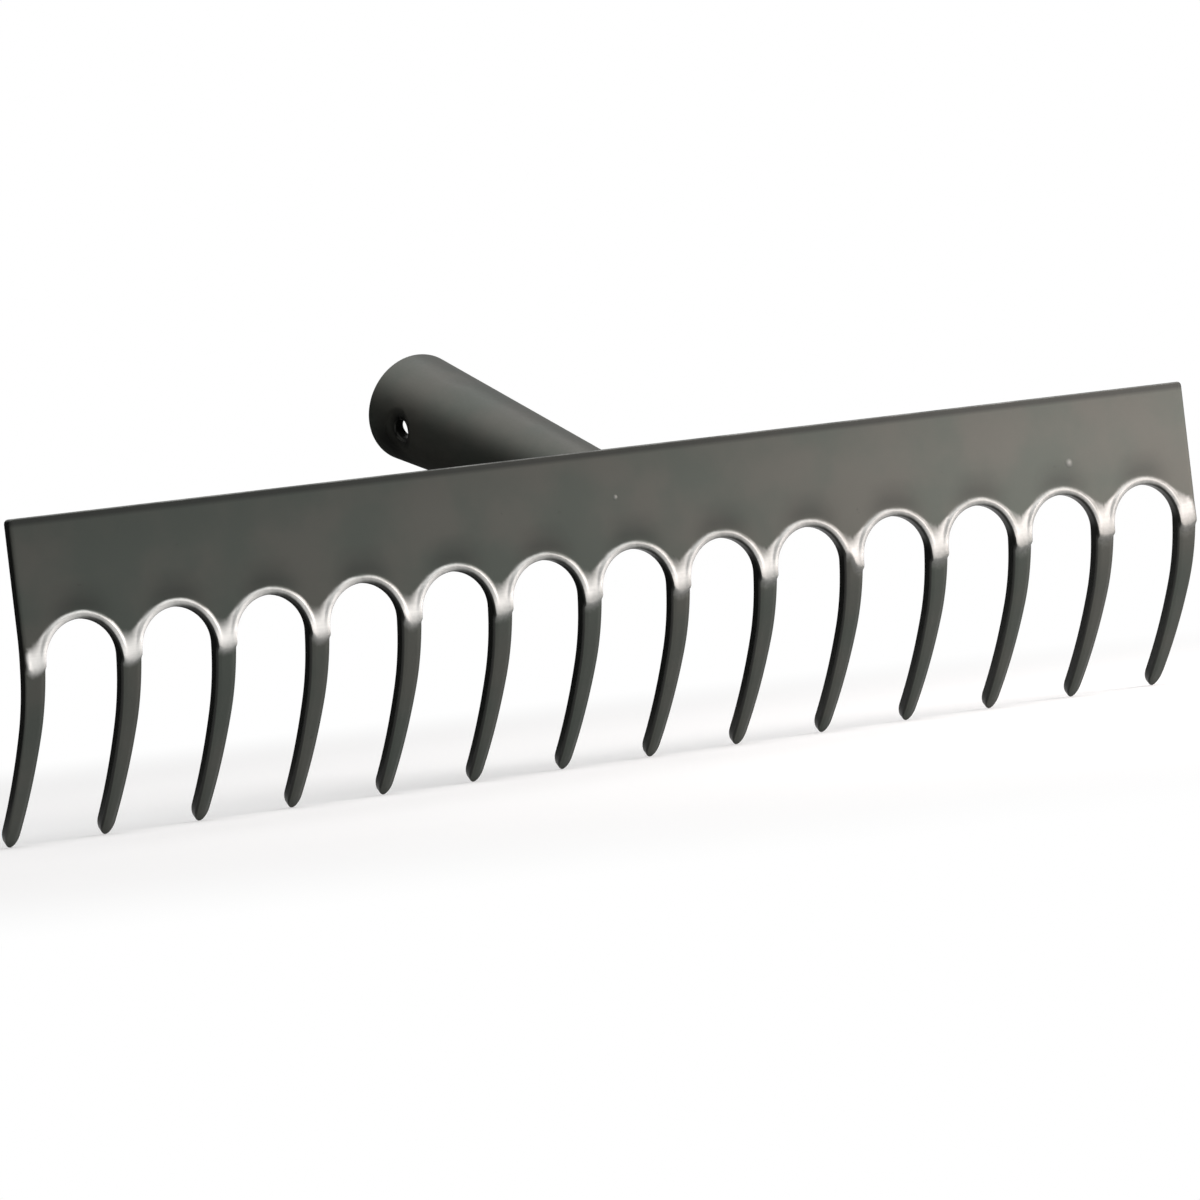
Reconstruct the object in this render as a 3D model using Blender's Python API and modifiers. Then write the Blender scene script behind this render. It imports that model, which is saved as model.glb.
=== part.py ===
# Garden rake head: one steel stamping with a row of curved tines, and a conical
# handle socket welded to its back.
# Metres, +Z up. X runs along the plate, Y points from the front to the socket side.
# The origin is the bottom centre of the whole head.

import math

import bmesh
import bpy
from mathutils import Matrix, Vector

MM = 0.001

# Stamping: the plate and its tines
TINE_COUNT = 14
TINE_PITCH = 29.0 * MM
TINE_ROOT_WIDTH = 6.4 * MM
TINE_TIP_WIDTH = 4.3 * MM
TINE_TIP_LENGTH = 4.6 * MM
TINE_TIP_THINNING = 0.55
TINE_LENGTH = 54.3 * MM
WEB_HEIGHT = 28.3 * MM
PLATE_THICKNESS = 3.0 * MM
PLATE_CORNER_RADIUS = 1.2 * MM
EDGE_ROUNDING = 0.35 * MM

# Bend of the tines, measured on the middle of the sheet
BEND_START_DEPTH = 30.7 * MM
BEND_ROOT_RADIUS = 56.0 * MM
BEND_ROOT_ANGLE = math.radians(29.0)
BEND_TIP_RADIUS = 160.0 * MM

# Raised metal on the front: a lip round every arch and a swollen root on every tine
LIP_WIDTH = 1.2 * MM
LIP_HEIGHT = 0.55 * MM
ROOT_RAMP_LENGTH = 6.8 * MM
ROOT_RAMP_RISE = 1.0 * MM
ROOT_CREST_DROP = 0.8 * MM
ROOT_FALL_LENGTH = 1.8 * MM
TINE_RISE = 0.3 * MM

# Handle socket
SOCKET_LENGTH = 112.0 * MM
SOCKET_MOUTH_DIAMETER = 31.6 * MM
SOCKET_NECK_DIAMETER = 20.4 * MM
SOCKET_WALL = 1.8 * MM
SOCKET_EDGE_ROUNDING = 0.4 * MM
SOCKET_TILT = math.radians(17.7)
SOCKET_DEPTH = 15.6 * MM
NAIL_HOLE_DIAMETER = 6.6 * MM
NAIL_HOLE_FROM_MOUTH = 15.5 * MM
NAIL_HOLE_DROP_ANGLE = math.radians(7.0)
NAIL_HOLE_DIMPLE_DEPTH = 0.8 * MM
NAIL_HOLE_DIMPLE_WIDTH = 0.9 * MM
NAIL_HOLE_COLLAR_DEPTH = 1.2 * MM
NAIL_HOLE_COLLAR_WALL = 1.1 * MM

# Welds
WELD_BEAD_RADIUS = 2.1 * MM
WELD_STANDOFF = 0.8 * MM
WELD_UPPER_ANGLE = math.radians(80.0)
WELD_LOWER_ANGLE = math.radians(-58.0)

# Clearance between touching pieces, and how far the cutting shapes run past what they cut
SEAT_GAP = 0.3 * MM
FOOT_OVERRUN = 20.0 * MM
BORE_OVERRUN = 3.0 * MM
CUTTER_REACH = 60.0 * MM
MERGE_DISTANCE = 0.01 * MM
BISECT_DISTANCE = 0.001 * MM

# Fineness of the curves, and the angles that tell an edge from a smooth face
ARCH_SEGMENTS = 14
TIP_SEGMENTS = 3
CORNER_SEGMENTS = 3
BEND_STATION_SPACING = 5.0 * MM
ROOT_RAMP_STEPS = 3
SOCKET_SEGMENTS = 64
NAIL_HOLE_SEGMENTS = 32
WELD_SEGMENTS = 24
WELD_BEVEL_RESOLUTION = 2
FLAT_ANGLE = math.radians(0.5)
RIM_ANGLE = math.radians(80.0)
HEAD_SHARP_ANGLE = math.radians(28.0)
SOCKET_SHARP_ANGLE = math.radians(35.0)
WELD_SHARP_ANGLE = math.radians(50.0)

ARCH_RADIUS = (TINE_PITCH - TINE_ROOT_WIDTH) / 2
SPRING_LINE = -(WEB_HEIGHT + ARCH_RADIUS)
TINE_END = SPRING_LINE - TINE_LENGTH
PLATE_HALF_LENGTH = (TINE_COUNT - 1) * TINE_PITCH / 2 + TINE_ROOT_WIDTH / 2
ROOT_CREST = SPRING_LINE - ROOT_CREST_DROP
PLATE_BACK = PLATE_THICKNESS / 2
SOCKET_SEAT = PLATE_BACK + SEAT_GAP


def tine_centre(index):
    """X of a tine's middle line."""
    return (index - (TINE_COUNT - 1) / 2) * TINE_PITCH


def arc_points(centre, radius, start, end, segments):
    """Points on an arc, both ends included."""
    points = []
    for step in range(segments + 1):
        angle = start + (end - start) * step / segments
        points.append((centre[0] + radius * math.cos(angle), centre[1] + radius * math.sin(angle)))
    return points


def smooth_step(value):
    """Ease from 0 to 1 as value runs from 0 to 1."""
    value = min(max(value, 0.0), 1.0)
    return value * value * (3 - 2 * value)


def tine_outline(index):
    """One tine of the flat blank, from the left end of its root round the tip to the right end."""
    middle = tine_centre(index)
    shoulder = TINE_END + TINE_TIP_LENGTH
    points = [(middle - TINE_ROOT_WIDTH / 2, SPRING_LINE)]
    for step in range(2 * TIP_SEGMENTS + 1):
        angle = math.pi * step / (2 * TIP_SEGMENTS)
        across = -TINE_TIP_WIDTH / 2 * math.cos(angle)
        points.append((middle + across, shoulder - TINE_TIP_LENGTH * math.sin(angle)))
    points.append((middle + TINE_ROOT_WIDTH / 2, SPRING_LINE))
    return points


def blank_outline():
    """The flat blank before it is bent, with the plate's top edge at zero height."""
    corner = PLATE_CORNER_RADIUS
    inner = PLATE_HALF_LENGTH - corner
    points = arc_points((inner, -corner), corner, 0, math.pi / 2, CORNER_SEGMENTS)
    points += arc_points((-inner, -corner), corner, math.pi / 2, math.pi, CORNER_SEGMENTS)
    for index in range(TINE_COUNT):
        points += tine_outline(index)
        if index < TINE_COUNT - 1:
            centre = (tine_centre(index) + TINE_PITCH / 2, SPRING_LINE)
            points += arc_points(centre, ARCH_RADIUS, math.pi, 0, ARCH_SEGMENTS)[1:-1]
    return points


def distance_to_gap(x, height):
    """How far a point of the blank lies from the nearest gap between two tines."""
    nearest = min(range(TINE_COUNT - 1), key=lambda i: abs(x - tine_centre(i) - TINE_PITCH / 2))
    across = x - tine_centre(nearest) - TINE_PITCH / 2
    if height >= SPRING_LINE:
        return math.hypot(across, height - SPRING_LINE) - ARCH_RADIUS
    return abs(across) - ARCH_RADIUS


def root_rise(height):
    """How far the front of a tine stands proud of the plate at one height of the blank."""
    if height >= ROOT_CREST:
        ramp = 1 - (height - ROOT_CREST) / ROOT_RAMP_LENGTH
        return ROOT_RAMP_RISE * max(ramp, 0.0) ** 2
    fall = smooth_step((ROOT_CREST - height) / ROOT_FALL_LENGTH)
    return ROOT_RAMP_RISE + (TINE_RISE - ROOT_RAMP_RISE) * fall


def back_thickness(height):
    """How much of the sheet's back half is left at one height: the back thins towards the tip."""
    share = (TINE_END + TINE_TIP_LENGTH - height) / TINE_TIP_LENGTH
    return 1 - TINE_TIP_THINNING * min(max(share, 0.0), 1.0) ** 2


def lip_rise(x, height):
    """How far the lip round the arches stands proud at one point of the blank."""
    if height < ROOT_CREST:
        return 0.0
    inward = distance_to_gap(x, height) - EDGE_ROUNDING
    return LIP_HEIGHT * min(max(1 - inward / LIP_WIDTH, 0.0), 1.0)


def bend_stations():
    """Heights at which the blank gets a row of points, so that it can bend."""
    stations = []
    for step in range(ROOT_RAMP_STEPS + 1):
        stations.append(ROOT_CREST + ROOT_RAMP_LENGTH * step / ROOT_RAMP_STEPS)
    stations.append(ROOT_CREST - ROOT_FALL_LENGTH / 2)
    stations.append(ROOT_CREST - ROOT_FALL_LENGTH)
    top = max(stations)
    low = min(stations)
    above = max(1, round((-BEND_START_DEPTH - top) / BEND_STATION_SPACING))
    for step in range(above):
        stations.append(-BEND_START_DEPTH + (top + BEND_START_DEPTH) * step / above)
    shoulder = TINE_END + TINE_TIP_LENGTH
    below = max(1, round((low - shoulder) / BEND_STATION_SPACING))
    for step in range(1, below + 1):
        stations.append(low + (shoulder - low) * step / below)
    return stations


def bend_point(point):
    """Move a point of the flat blank to its place on the bent head."""
    run = -BEND_START_DEPTH - point.y
    if run <= 0:
        return point
    root_run = BEND_ROOT_RADIUS * BEND_ROOT_ANGLE
    if run <= root_run:
        angle = run / BEND_ROOT_RADIUS
        back = BEND_ROOT_RADIUS * (1 - math.cos(angle))
        down = BEND_ROOT_RADIUS * math.sin(angle)
    else:
        angle = BEND_ROOT_ANGLE + (run - root_run) / BEND_TIP_RADIUS
        back = BEND_ROOT_RADIUS * (1 - math.cos(BEND_ROOT_ANGLE))
        back += BEND_TIP_RADIUS * (math.cos(BEND_ROOT_ANGLE) - math.cos(angle))
        down = BEND_ROOT_RADIUS * math.sin(BEND_ROOT_ANGLE)
        down += BEND_TIP_RADIUS * (math.sin(angle) - math.sin(BEND_ROOT_ANGLE))
    height = -BEND_START_DEPTH - down - point.z * math.sin(angle)
    return Vector((point.x, height, point.z * math.cos(angle) - back))


def make_material(name, colour, roughness, metallic):
    """A plain Principled material."""
    material = bpy.data.materials.new(name)
    material.use_nodes = True
    shader = material.node_tree.nodes["Principled BSDF"]
    shader.inputs["Base Color"].default_value = (*colour, 1.0)
    shader.inputs["Roughness"].default_value = roughness
    shader.inputs["Metallic"].default_value = metallic
    return material


def link_part(obj, collection, parent, material):
    """Put a finished piece in the model's collection, under its empty, with its material."""
    for owner in list(obj.users_collection):
        owner.objects.unlink(obj)
    collection.objects.link(obj)
    obj.parent = parent
    obj.data.materials.clear()
    obj.data.materials.append(material)
    return obj


def hide_cutter(obj, cutters):
    """Keep a cutting or joining shape in its own collection, out of the model."""
    for owner in list(obj.users_collection):
        owner.objects.unlink(obj)
    cutters.objects.link(obj)
    obj.hide_render = True
    obj.display_type = "WIRE"


def add_boolean(obj, cutter, operation):
    """Cut or join a piece with a hidden shape."""
    modifier = obj.modifiers.new(cutter.name, "BOOLEAN")
    modifier.object = cutter
    modifier.operation = operation
    modifier.solver = "EXACT"


def curve_to_mesh(curve_object, name):
    """Turn a curve object into a closed mesh object in the same place."""
    bpy.context.view_layer.update()
    evaluated = curve_object.evaluated_get(bpy.context.evaluated_depsgraph_get())
    mesh = bpy.data.meshes.new_from_object(evaluated)
    mesh.name = name
    shape = bmesh.new()
    shape.from_mesh(mesh)
    bmesh.ops.remove_doubles(shape, verts=shape.verts, dist=MERGE_DISTANCE)
    shape.to_mesh(mesh)
    shape.free()
    obj = bpy.data.objects.new(name, mesh)
    obj.matrix_world = curve_object.matrix_world.copy()
    bpy.context.collection.objects.link(obj)
    bpy.data.objects.remove(curve_object)
    return obj


def smooth_shading(obj, angle):
    """Shade a piece smooth except at edges sharper than the angle."""
    obj.data.shade_smooth()
    obj.data.set_sharp_from_angle(angle=angle)


def flat_blank():
    """The stamping's outline as an extruded flat curve, made a mesh."""
    outline = bpy.data.curves.new("rake_head_outline", "CURVE")
    outline.dimensions = "2D"
    outline.fill_mode = "BOTH"
    outline.extrude = PLATE_THICKNESS / 2
    spline = outline.splines.new("POLY")
    points = blank_outline()
    spline.points.add(len(points) - 1)
    for slot, (x, y) in zip(spline.points, points):
        slot.co = (x, y, 0.0, 1.0)
    spline.use_cyclic_u = True
    holder = bpy.data.objects.new("rake_head_outline", outline)
    bpy.context.collection.objects.link(holder)
    return curve_to_mesh(holder, "rake_head")


def form_blank(mesh):
    """Round the blank's edges, raise its lips and roots, thin its tips, and bend its tines."""
    shape = bmesh.new()
    shape.from_mesh(mesh)
    bmesh.ops.dissolve_limit(shape, angle_limit=FLAT_ANGLE, verts=shape.verts, edges=shape.edges)
    rims = [edge for edge in shape.edges if edge.calc_face_angle(0.0) > RIM_ANGLE
            and edge.verts[0].co.z * edge.verts[1].co.z > 0]
    bmesh.ops.bevel(
        shape, geom=rims, offset=EDGE_ROUNDING, offset_type="OFFSET", affect="EDGES",
        segments=1, profile=0.5, material=-1)
    front = max(shape.faces, key=lambda face: face.calc_area() * face.normal.z)
    bmesh.ops.inset_region(shape, faces=[front], thickness=LIP_WIDTH, use_even_offset=True)
    for height in bend_stations():
        geometry = shape.verts[:] + shape.edges[:] + shape.faces[:]
        bmesh.ops.bisect_plane(
            shape, geom=geometry, dist=BISECT_DISTANCE, plane_co=(0, height, 0),
            plane_no=(0, 1, 0))
    for vert in shape.verts:
        if vert.co.z > 0:
            vert.co.z += max(root_rise(vert.co.y), lip_rise(vert.co.x, vert.co.y))
        else:
            vert.co.z *= back_thickness(vert.co.y)
    for vert in shape.verts:
        vert.co = bend_point(vert.co)
    bmesh.ops.recalc_face_normals(shape, faces=shape.faces)
    shape.to_mesh(mesh)
    shape.free()


def make_rake_head(collection, parent, material):
    """The stamping: flat plate with a row of curved tines."""
    head = flat_blank()
    form_blank(head.data)
    head.rotation_euler = (math.pi / 2, 0, 0)
    smooth_shading(head, HEAD_SHARP_ANGLE)
    return link_part(head, collection, parent, material)


def socket_matrix():
    """Place of the socket's own frame: its axis is local Z, and zero is where it meets the plate."""
    turn = Matrix.Rotation(SOCKET_TILT - math.pi / 2, 4, "X")
    return Matrix.Translation((0, PLATE_BACK, -SOCKET_DEPTH)) @ turn


def socket_radius(along):
    """Outer radius of the conical socket at a distance along its axis."""
    neck = SOCKET_NECK_DIAMETER / 2
    mouth = SOCKET_MOUTH_DIAMETER / 2
    return neck + (mouth - neck) * along / SOCKET_LENGTH


def turned_shape(name, profile, closed):
    """A profile turned about local Z; an open one starts and ends on the axis."""
    mesh = bpy.data.meshes.new(name)
    count = len(profile)
    edges = [(i, (i + 1) % count) for i in range(count if closed else count - 1)]
    mesh.from_pydata([(x, 0, z) for x, z in profile], edges, [])
    obj = bpy.data.objects.new(name, mesh)
    bpy.context.collection.objects.link(obj)
    screw = obj.modifiers.new("Turn", "SCREW")
    screw.steps = SOCKET_SEGMENTS
    screw.render_steps = SOCKET_SEGMENTS
    screw.use_merge_vertices = True
    screw.merge_threshold = MERGE_DISTANCE
    obj.matrix_world = socket_matrix()
    return obj


def socket_profile():
    """Outline of the socket's wall, down the outer side and up the bore."""
    start = -FOOT_OVERRUN
    top = SOCKET_LENGTH
    edge = SOCKET_EDGE_ROUNDING
    wall = SOCKET_WALL
    return [
        (socket_radius(top) - edge, top),
        (socket_radius(top - edge), top - edge),
        (socket_radius(start), start),
        (socket_radius(start) - wall, start),
        (socket_radius(top - edge) - wall, top - edge),
        (socket_radius(top) - wall + edge, top),
    ]


def front_block(name, back):
    """A block that fills all space in front of a plane behind the plate."""
    bpy.ops.mesh.primitive_cube_add(size=1, location=(0, back - CUTTER_REACH / 2, -SOCKET_DEPTH))
    block = bpy.context.object
    block.name = name
    block.data.transform(Matrix.Diagonal((2 * CUTTER_REACH, CUTTER_REACH, 2 * CUTTER_REACH, 1)))
    return block


def nail_hole_tool(name, outer_radius, inner_radius, start, depth):
    """A round tool from a distance beside the socket's axis, on its left and a little below."""
    bpy.ops.mesh.primitive_cone_add(
        vertices=NAIL_HOLE_SEGMENTS, radius1=inner_radius, radius2=outer_radius, depth=depth)
    tool = bpy.context.object
    tool.name = name
    along = SOCKET_LENGTH - NAIL_HOLE_FROM_MOUTH
    sideways = Matrix.Rotation(-math.pi / 2, 4, "Y")
    place = Matrix.Translation((-(start - depth / 2), 0, along))
    drop = Matrix.Rotation(-NAIL_HOLE_DROP_ANGLE, 4, "Z")
    tool.matrix_world = socket_matrix() @ drop @ place @ sideways
    return tool


def make_handle_socket(collection, cutters, parent, material):
    """The conical tube that takes the handle, cut to sit on the plate, with its nail hole."""
    socket = turned_shape("handle_socket", socket_profile(), True)
    wall_radius = socket_radius(SOCKET_LENGTH - NAIL_HOLE_FROM_MOUTH)
    hole = NAIL_HOLE_DIAMETER / 2
    collar_outer = hole + NAIL_HOLE_COLLAR_WALL
    collar_depth = SOCKET_WALL / 2 + NAIL_HOLE_COLLAR_DEPTH
    collar = nail_hole_tool(
        "nail_hole_collar", collar_outer, hole + NAIL_HOLE_COLLAR_WALL / 2,
        wall_radius - SOCKET_WALL / 2, collar_depth)
    dimple = nail_hole_tool(
        "nail_hole_dimple", hole + 2 * NAIL_HOLE_DIMPLE_WIDTH, hole,
        wall_radius + NAIL_HOLE_DIMPLE_DEPTH, 2 * NAIL_HOLE_DIMPLE_DEPTH)
    bore_depth = SOCKET_WALL + NAIL_HOLE_COLLAR_DEPTH + 2 * BORE_OVERRUN
    bore = nail_hole_tool("nail_hole_bore", hole, hole, wall_radius + BORE_OVERRUN, bore_depth)
    seat = front_block("socket_seat_cut", SOCKET_SEAT)
    for tool, operation in ((collar, "UNION"), (dimple, "DIFFERENCE"),
                            (bore, "DIFFERENCE"), (seat, "DIFFERENCE")):
        add_boolean(socket, tool, operation)
        hide_cutter(tool, cutters)
    smooth_shading(socket, SOCKET_SHARP_ANGLE)
    return link_part(socket, collection, parent, material)


def weld_path(side):
    """Points of a weld bead's middle line along one side of the socket's foot."""
    half_width = SOCKET_NECK_DIAMETER / 2 + WELD_STANDOFF
    half_height = half_width / math.cos(SOCKET_TILT)
    points = []
    for step in range(WELD_SEGMENTS + 1):
        angle = WELD_LOWER_ANGLE + (WELD_UPPER_ANGLE - WELD_LOWER_ANGLE) * step / WELD_SEGMENTS
        across = side * half_width * math.cos(angle)
        height = half_height * math.sin(angle) - SOCKET_DEPTH
        points.append((across, SOCKET_SEAT + WELD_STANDOFF, height))
    return points


def make_weld_bead(name, side, tube_cutter, plate_cutter, collection, parent, material):
    """One fillet weld between the socket's foot and the plate."""
    curve = bpy.data.curves.new(name, "CURVE")
    curve.dimensions = "3D"
    curve.bevel_depth = WELD_BEAD_RADIUS
    curve.bevel_resolution = WELD_BEVEL_RESOLUTION
    curve.use_fill_caps = True
    spline = curve.splines.new("POLY")
    points = weld_path(side)
    spline.points.add(len(points) - 1)
    for slot, point in zip(spline.points, points):
        slot.co = (*point, 1.0)
    holder = bpy.data.objects.new(name + "_line", curve)
    bpy.context.collection.objects.link(holder)
    bead = curve_to_mesh(holder, name)
    add_boolean(bead, tube_cutter, "DIFFERENCE")
    add_boolean(bead, plate_cutter, "DIFFERENCE")
    smooth_shading(bead, WELD_SHARP_ANGLE)
    return link_part(bead, collection, parent, material)


def weld_cutters(cutters):
    """The shapes that keep the weld beads clear of the socket and the plate."""
    tube = turned_shape("weld_tube_cut", [
        (0, FOOT_OVERRUN),
        (socket_radius(FOOT_OVERRUN) + SEAT_GAP, FOOT_OVERRUN),
        (socket_radius(-FOOT_OVERRUN) + SEAT_GAP, -FOOT_OVERRUN),
        (0, -FOOT_OVERRUN),
    ], False)
    plate = front_block("weld_plate_cut", SOCKET_SEAT)
    hide_cutter(tube, cutters)
    hide_cutter(plate, cutters)
    return tube, plate


def settle_origin(parent, parts):
    """Move the whole head so that the origin is the bottom centre of its box."""
    bpy.context.view_layer.update()
    graph = bpy.context.evaluated_depsgraph_get()
    corners = []
    for part in parts:
        evaluated = part.evaluated_get(graph)
        corners += [evaluated.matrix_world @ vert.co for vert in evaluated.data.vertices]
    low = [min(corner[axis] for corner in corners) for axis in range(3)]
    high = [max(corner[axis] for corner in corners) for axis in range(3)]
    parent.location = (-(low[0] + high[0]) / 2, -(low[1] + high[1]) / 2, -low[2])


def main():
    for obj in list(bpy.data.objects):
        bpy.data.objects.remove(obj, do_unlink=True)
    collection = bpy.data.collections.new("garden_rake_head")
    cutters = bpy.data.collections.new("cutters")
    bpy.context.scene.collection.children.link(collection)
    bpy.context.scene.collection.children.link(cutters)
    parent = bpy.data.objects.new("rake_frame", None)
    collection.objects.link(parent)

    plate_finish = make_material("dark_lacquered_steel", (0.085, 0.085, 0.076), 0.42, 0.6)
    socket_finish = make_material("dark_lacquered_tube", (0.10, 0.098, 0.09), 0.5, 0.5)
    weld_finish = make_material("lacquered_weld", (0.07, 0.07, 0.065), 0.5, 0.5)

    parts = [make_rake_head(collection, parent, plate_finish)]
    parts.append(make_handle_socket(collection, cutters, parent, socket_finish))
    tube_cutter, plate_cutter = weld_cutters(cutters)
    for name, side in (("weld_bead_left", -1), ("weld_bead_right", 1)):
        parts.append(make_weld_bead(
            name, side, tube_cutter, plate_cutter, collection, parent, weld_finish))
    for cutter in cutters.objects:
        cutter.parent = parent
    settle_origin(parent, parts)


main()
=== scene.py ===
import math
import random

import bmesh
import bpy
from bpy.props import FloatProperty, FloatVectorProperty, IntProperty, PointerProperty
from bpy.types import Operator, Panel, PropertyGroup
from mathutils import Matrix, Vector, noise


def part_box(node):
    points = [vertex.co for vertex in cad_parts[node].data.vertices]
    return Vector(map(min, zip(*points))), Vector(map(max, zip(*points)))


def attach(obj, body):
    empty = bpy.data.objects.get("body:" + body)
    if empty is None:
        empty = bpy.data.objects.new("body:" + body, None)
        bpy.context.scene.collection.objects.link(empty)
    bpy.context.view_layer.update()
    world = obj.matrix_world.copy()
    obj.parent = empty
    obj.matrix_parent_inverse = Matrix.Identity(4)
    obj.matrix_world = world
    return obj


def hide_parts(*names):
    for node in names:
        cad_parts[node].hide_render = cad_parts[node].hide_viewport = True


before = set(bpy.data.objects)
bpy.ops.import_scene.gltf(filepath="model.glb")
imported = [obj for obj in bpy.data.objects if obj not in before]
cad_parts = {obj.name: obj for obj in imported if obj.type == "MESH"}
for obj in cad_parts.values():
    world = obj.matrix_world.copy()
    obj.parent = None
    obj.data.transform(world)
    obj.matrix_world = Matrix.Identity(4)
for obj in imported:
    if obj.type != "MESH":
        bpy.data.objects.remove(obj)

bl_info = {
    "name": "Garden Rake Head",
    "version": (1, 0, 0),
    "blender": (4, 5, 0),
    "location": "3D View > Sidebar > Rake Head",
    "description": "Models a steel rake head with its handle socket and a small studio",
    "category": "Add Mesh",
}

MM = 0.001

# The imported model's plate: its top edge, and how near to it a point counts as on it
HEAD_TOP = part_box("rake_head")[1].z
TOP_EDGE_BAND = 0.1 * MM


def plate_middle():
    """Y of the middle of the plate's thickness, read at its top edge."""
    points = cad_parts["rake_head"].data.vertices
    depths = [point.co.y for point in points if HEAD_TOP - point.co.z < TOP_EDGE_BAND]
    return (min(depths) + max(depths)) / 2


# Fineness of the sheet's mesh: its columns follow the rim of a gap, and its rows go from the
# rim to the middle line of a tine or to the plate's top edge
CROWN_COLUMNS = 5
FLANK_COLUMNS = 16
ROOT_COLUMN_LENGTH = 0.5 * MM
ROOT_ZONE_LENGTH = 10.0 * MM
TINE_COLUMN_LENGTH = 1.5 * MM
TIP_COLUMNS = 8
LIP_ROWS = 8
FIELD_ROWS = 6
FIRST_ROW = 0.52 * MM
LIP_ROW_SPACING = 0.34 * MM

# The most of a column that the lip's rows may take, how much further apart the other rows
# grow on a long column, and the extra rows under the top edge, in radii of its rounding
LIP_SHARE = 0.86
FIELD_ROW_SPREAD = 0.7
TOP_EDGE_ROWS = (1.6, 3.3, 6)

# How far the rows keep off the plate's ends, in radii of its corners
CORNER_CLEAR = 1.2

# Fineness of the tube and the welds: cells round and along them, cells of the tube cut out to
# each side of the nail hole and the part of a cell that a point may lie beyond them, and the
# rings of its dish, its collar and their inner sides
TUBE_AROUND = 96
TUBE_ALONG = 112
HOLE_CELLS = 8
HOLE_MARGIN = 0.25
DISH_RINGS = 8
COLLAR_RINGS = 5
INNER_RINGS = 3
WELD_AROUND = 14
WELD_ALONG = 120

# Segments of a rounded edge, the least angle of an edge that is rounded, the distance within
# which points merge, and the seed of what differs from tine to tine
BEVEL_SEGMENTS = 3
RIM_ANGLE = math.radians(60)
MERGE_DISTANCE = 0.001 * MM
SEED = 11


class HeadSizes(PropertyGroup):
    """Lengths of the plate and its tines."""

    tine_count: IntProperty(
        name="Tines", description="How many tines the head has", default=14, min=2, max=40)
    tine_pitch: FloatProperty(
        name="Tine spacing", description="From one tine's middle to the next",
        default=29.0 * MM, unit="LENGTH")
    root_width: FloatProperty(
        name="Root width", description="Width of a tine where it leaves the plate",
        default=6.4 * MM, unit="LENGTH")
    tip_width: FloatProperty(
        name="Tip width", description="Width of a tine where its point starts",
        default=4.3 * MM, unit="LENGTH")
    tip_length: FloatProperty(
        name="Tip length", description="Length of a tine's rounded point",
        default=4.6 * MM, unit="LENGTH")
    tip_thinning: FloatProperty(
        name="Tip thinning", description="How much of the sheet's back half is gone at the tip",
        default=0.55, subtype="FACTOR", min=0, max=0.9)
    tine_length: FloatProperty(
        name="Tine length", description="From the foot of the arches to the tip, along the sheet",
        default=54.45 * MM, unit="LENGTH")
    web_height: FloatProperty(
        name="Plate height", description="From the top edge to the crown of the arches",
        default=28.3 * MM, unit="LENGTH")
    thickness: FloatProperty(
        name="Thickness", description="Thickness of the sheet", default=3.0 * MM, unit="LENGTH")
    corner_radius: FloatProperty(
        name="Corner radius", description="Radius of the plate's two top corners",
        default=1.2 * MM, unit="LENGTH")
    edge_rounding: FloatProperty(
        name="Edge rounding", description="Radius of the sheet's edges",
        default=0.42 * MM, unit="LENGTH")
    bend_depth: FloatProperty(
        name="Bend start", description="From the top edge to where the tines start to bend",
        default=30.7 * MM, unit="LENGTH")
    bend_root_radius: FloatProperty(
        name="Root bend radius", description="Radius of the bend next to the plate",
        default=56.0 * MM, unit="LENGTH")
    bend_root_angle: FloatProperty(
        name="Root bend angle", description="Angle of the bend next to the plate",
        default=math.radians(29.0), subtype="ANGLE")
    bend_tip_radius: FloatProperty(
        name="Tip bend radius", description="Radius of the bend towards the tip",
        default=160.0 * MM, unit="LENGTH")
    lip_height: FloatProperty(
        name="Lip height", description="How far the lip round an arch stands proud",
        default=0.46 * MM, unit="LENGTH")
    lip_crest: FloatProperty(
        name="Lip crest", description="From an arch's edge to the crest of its lip",
        default=1.35 * MM, unit="LENGTH")
    lip_width: FloatProperty(
        name="Lip width", description="From an arch's edge to the outer foot of its lip",
        default=2.5 * MM, unit="LENGTH")
    root_rise: FloatProperty(
        name="Root rise", description="How far the swollen root of a tine stands proud",
        default=1.0 * MM, unit="LENGTH")
    tine_rise: FloatProperty(
        name="Tine rise", description="How far the front of a tine stands proud below its root",
        default=0.3 * MM, unit="LENGTH")
    root_above: FloatProperty(
        name="Root start", description="How far above the foot of the arches a root starts",
        default=6.6 * MM, unit="LENGTH")
    root_below: FloatProperty(
        name="Root end", description="How far below the foot of the arches the first root ends",
        default=1.1 * MM, unit="LENGTH")
    root_drift: FloatProperty(
        name="Root drift", description="How much lower the last root ends than the first",
        default=1.0 * MM, unit="LENGTH")
    root_fall: FloatProperty(
        name="Root step", description="Length of the step below a root",
        default=1.7 * MM, unit="LENGTH")
    hollow_depth: FloatProperty(
        name="Hollow", description="Depth of the faint hollow over each arch",
        default=0.10 * MM, unit="LENGTH")


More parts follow.
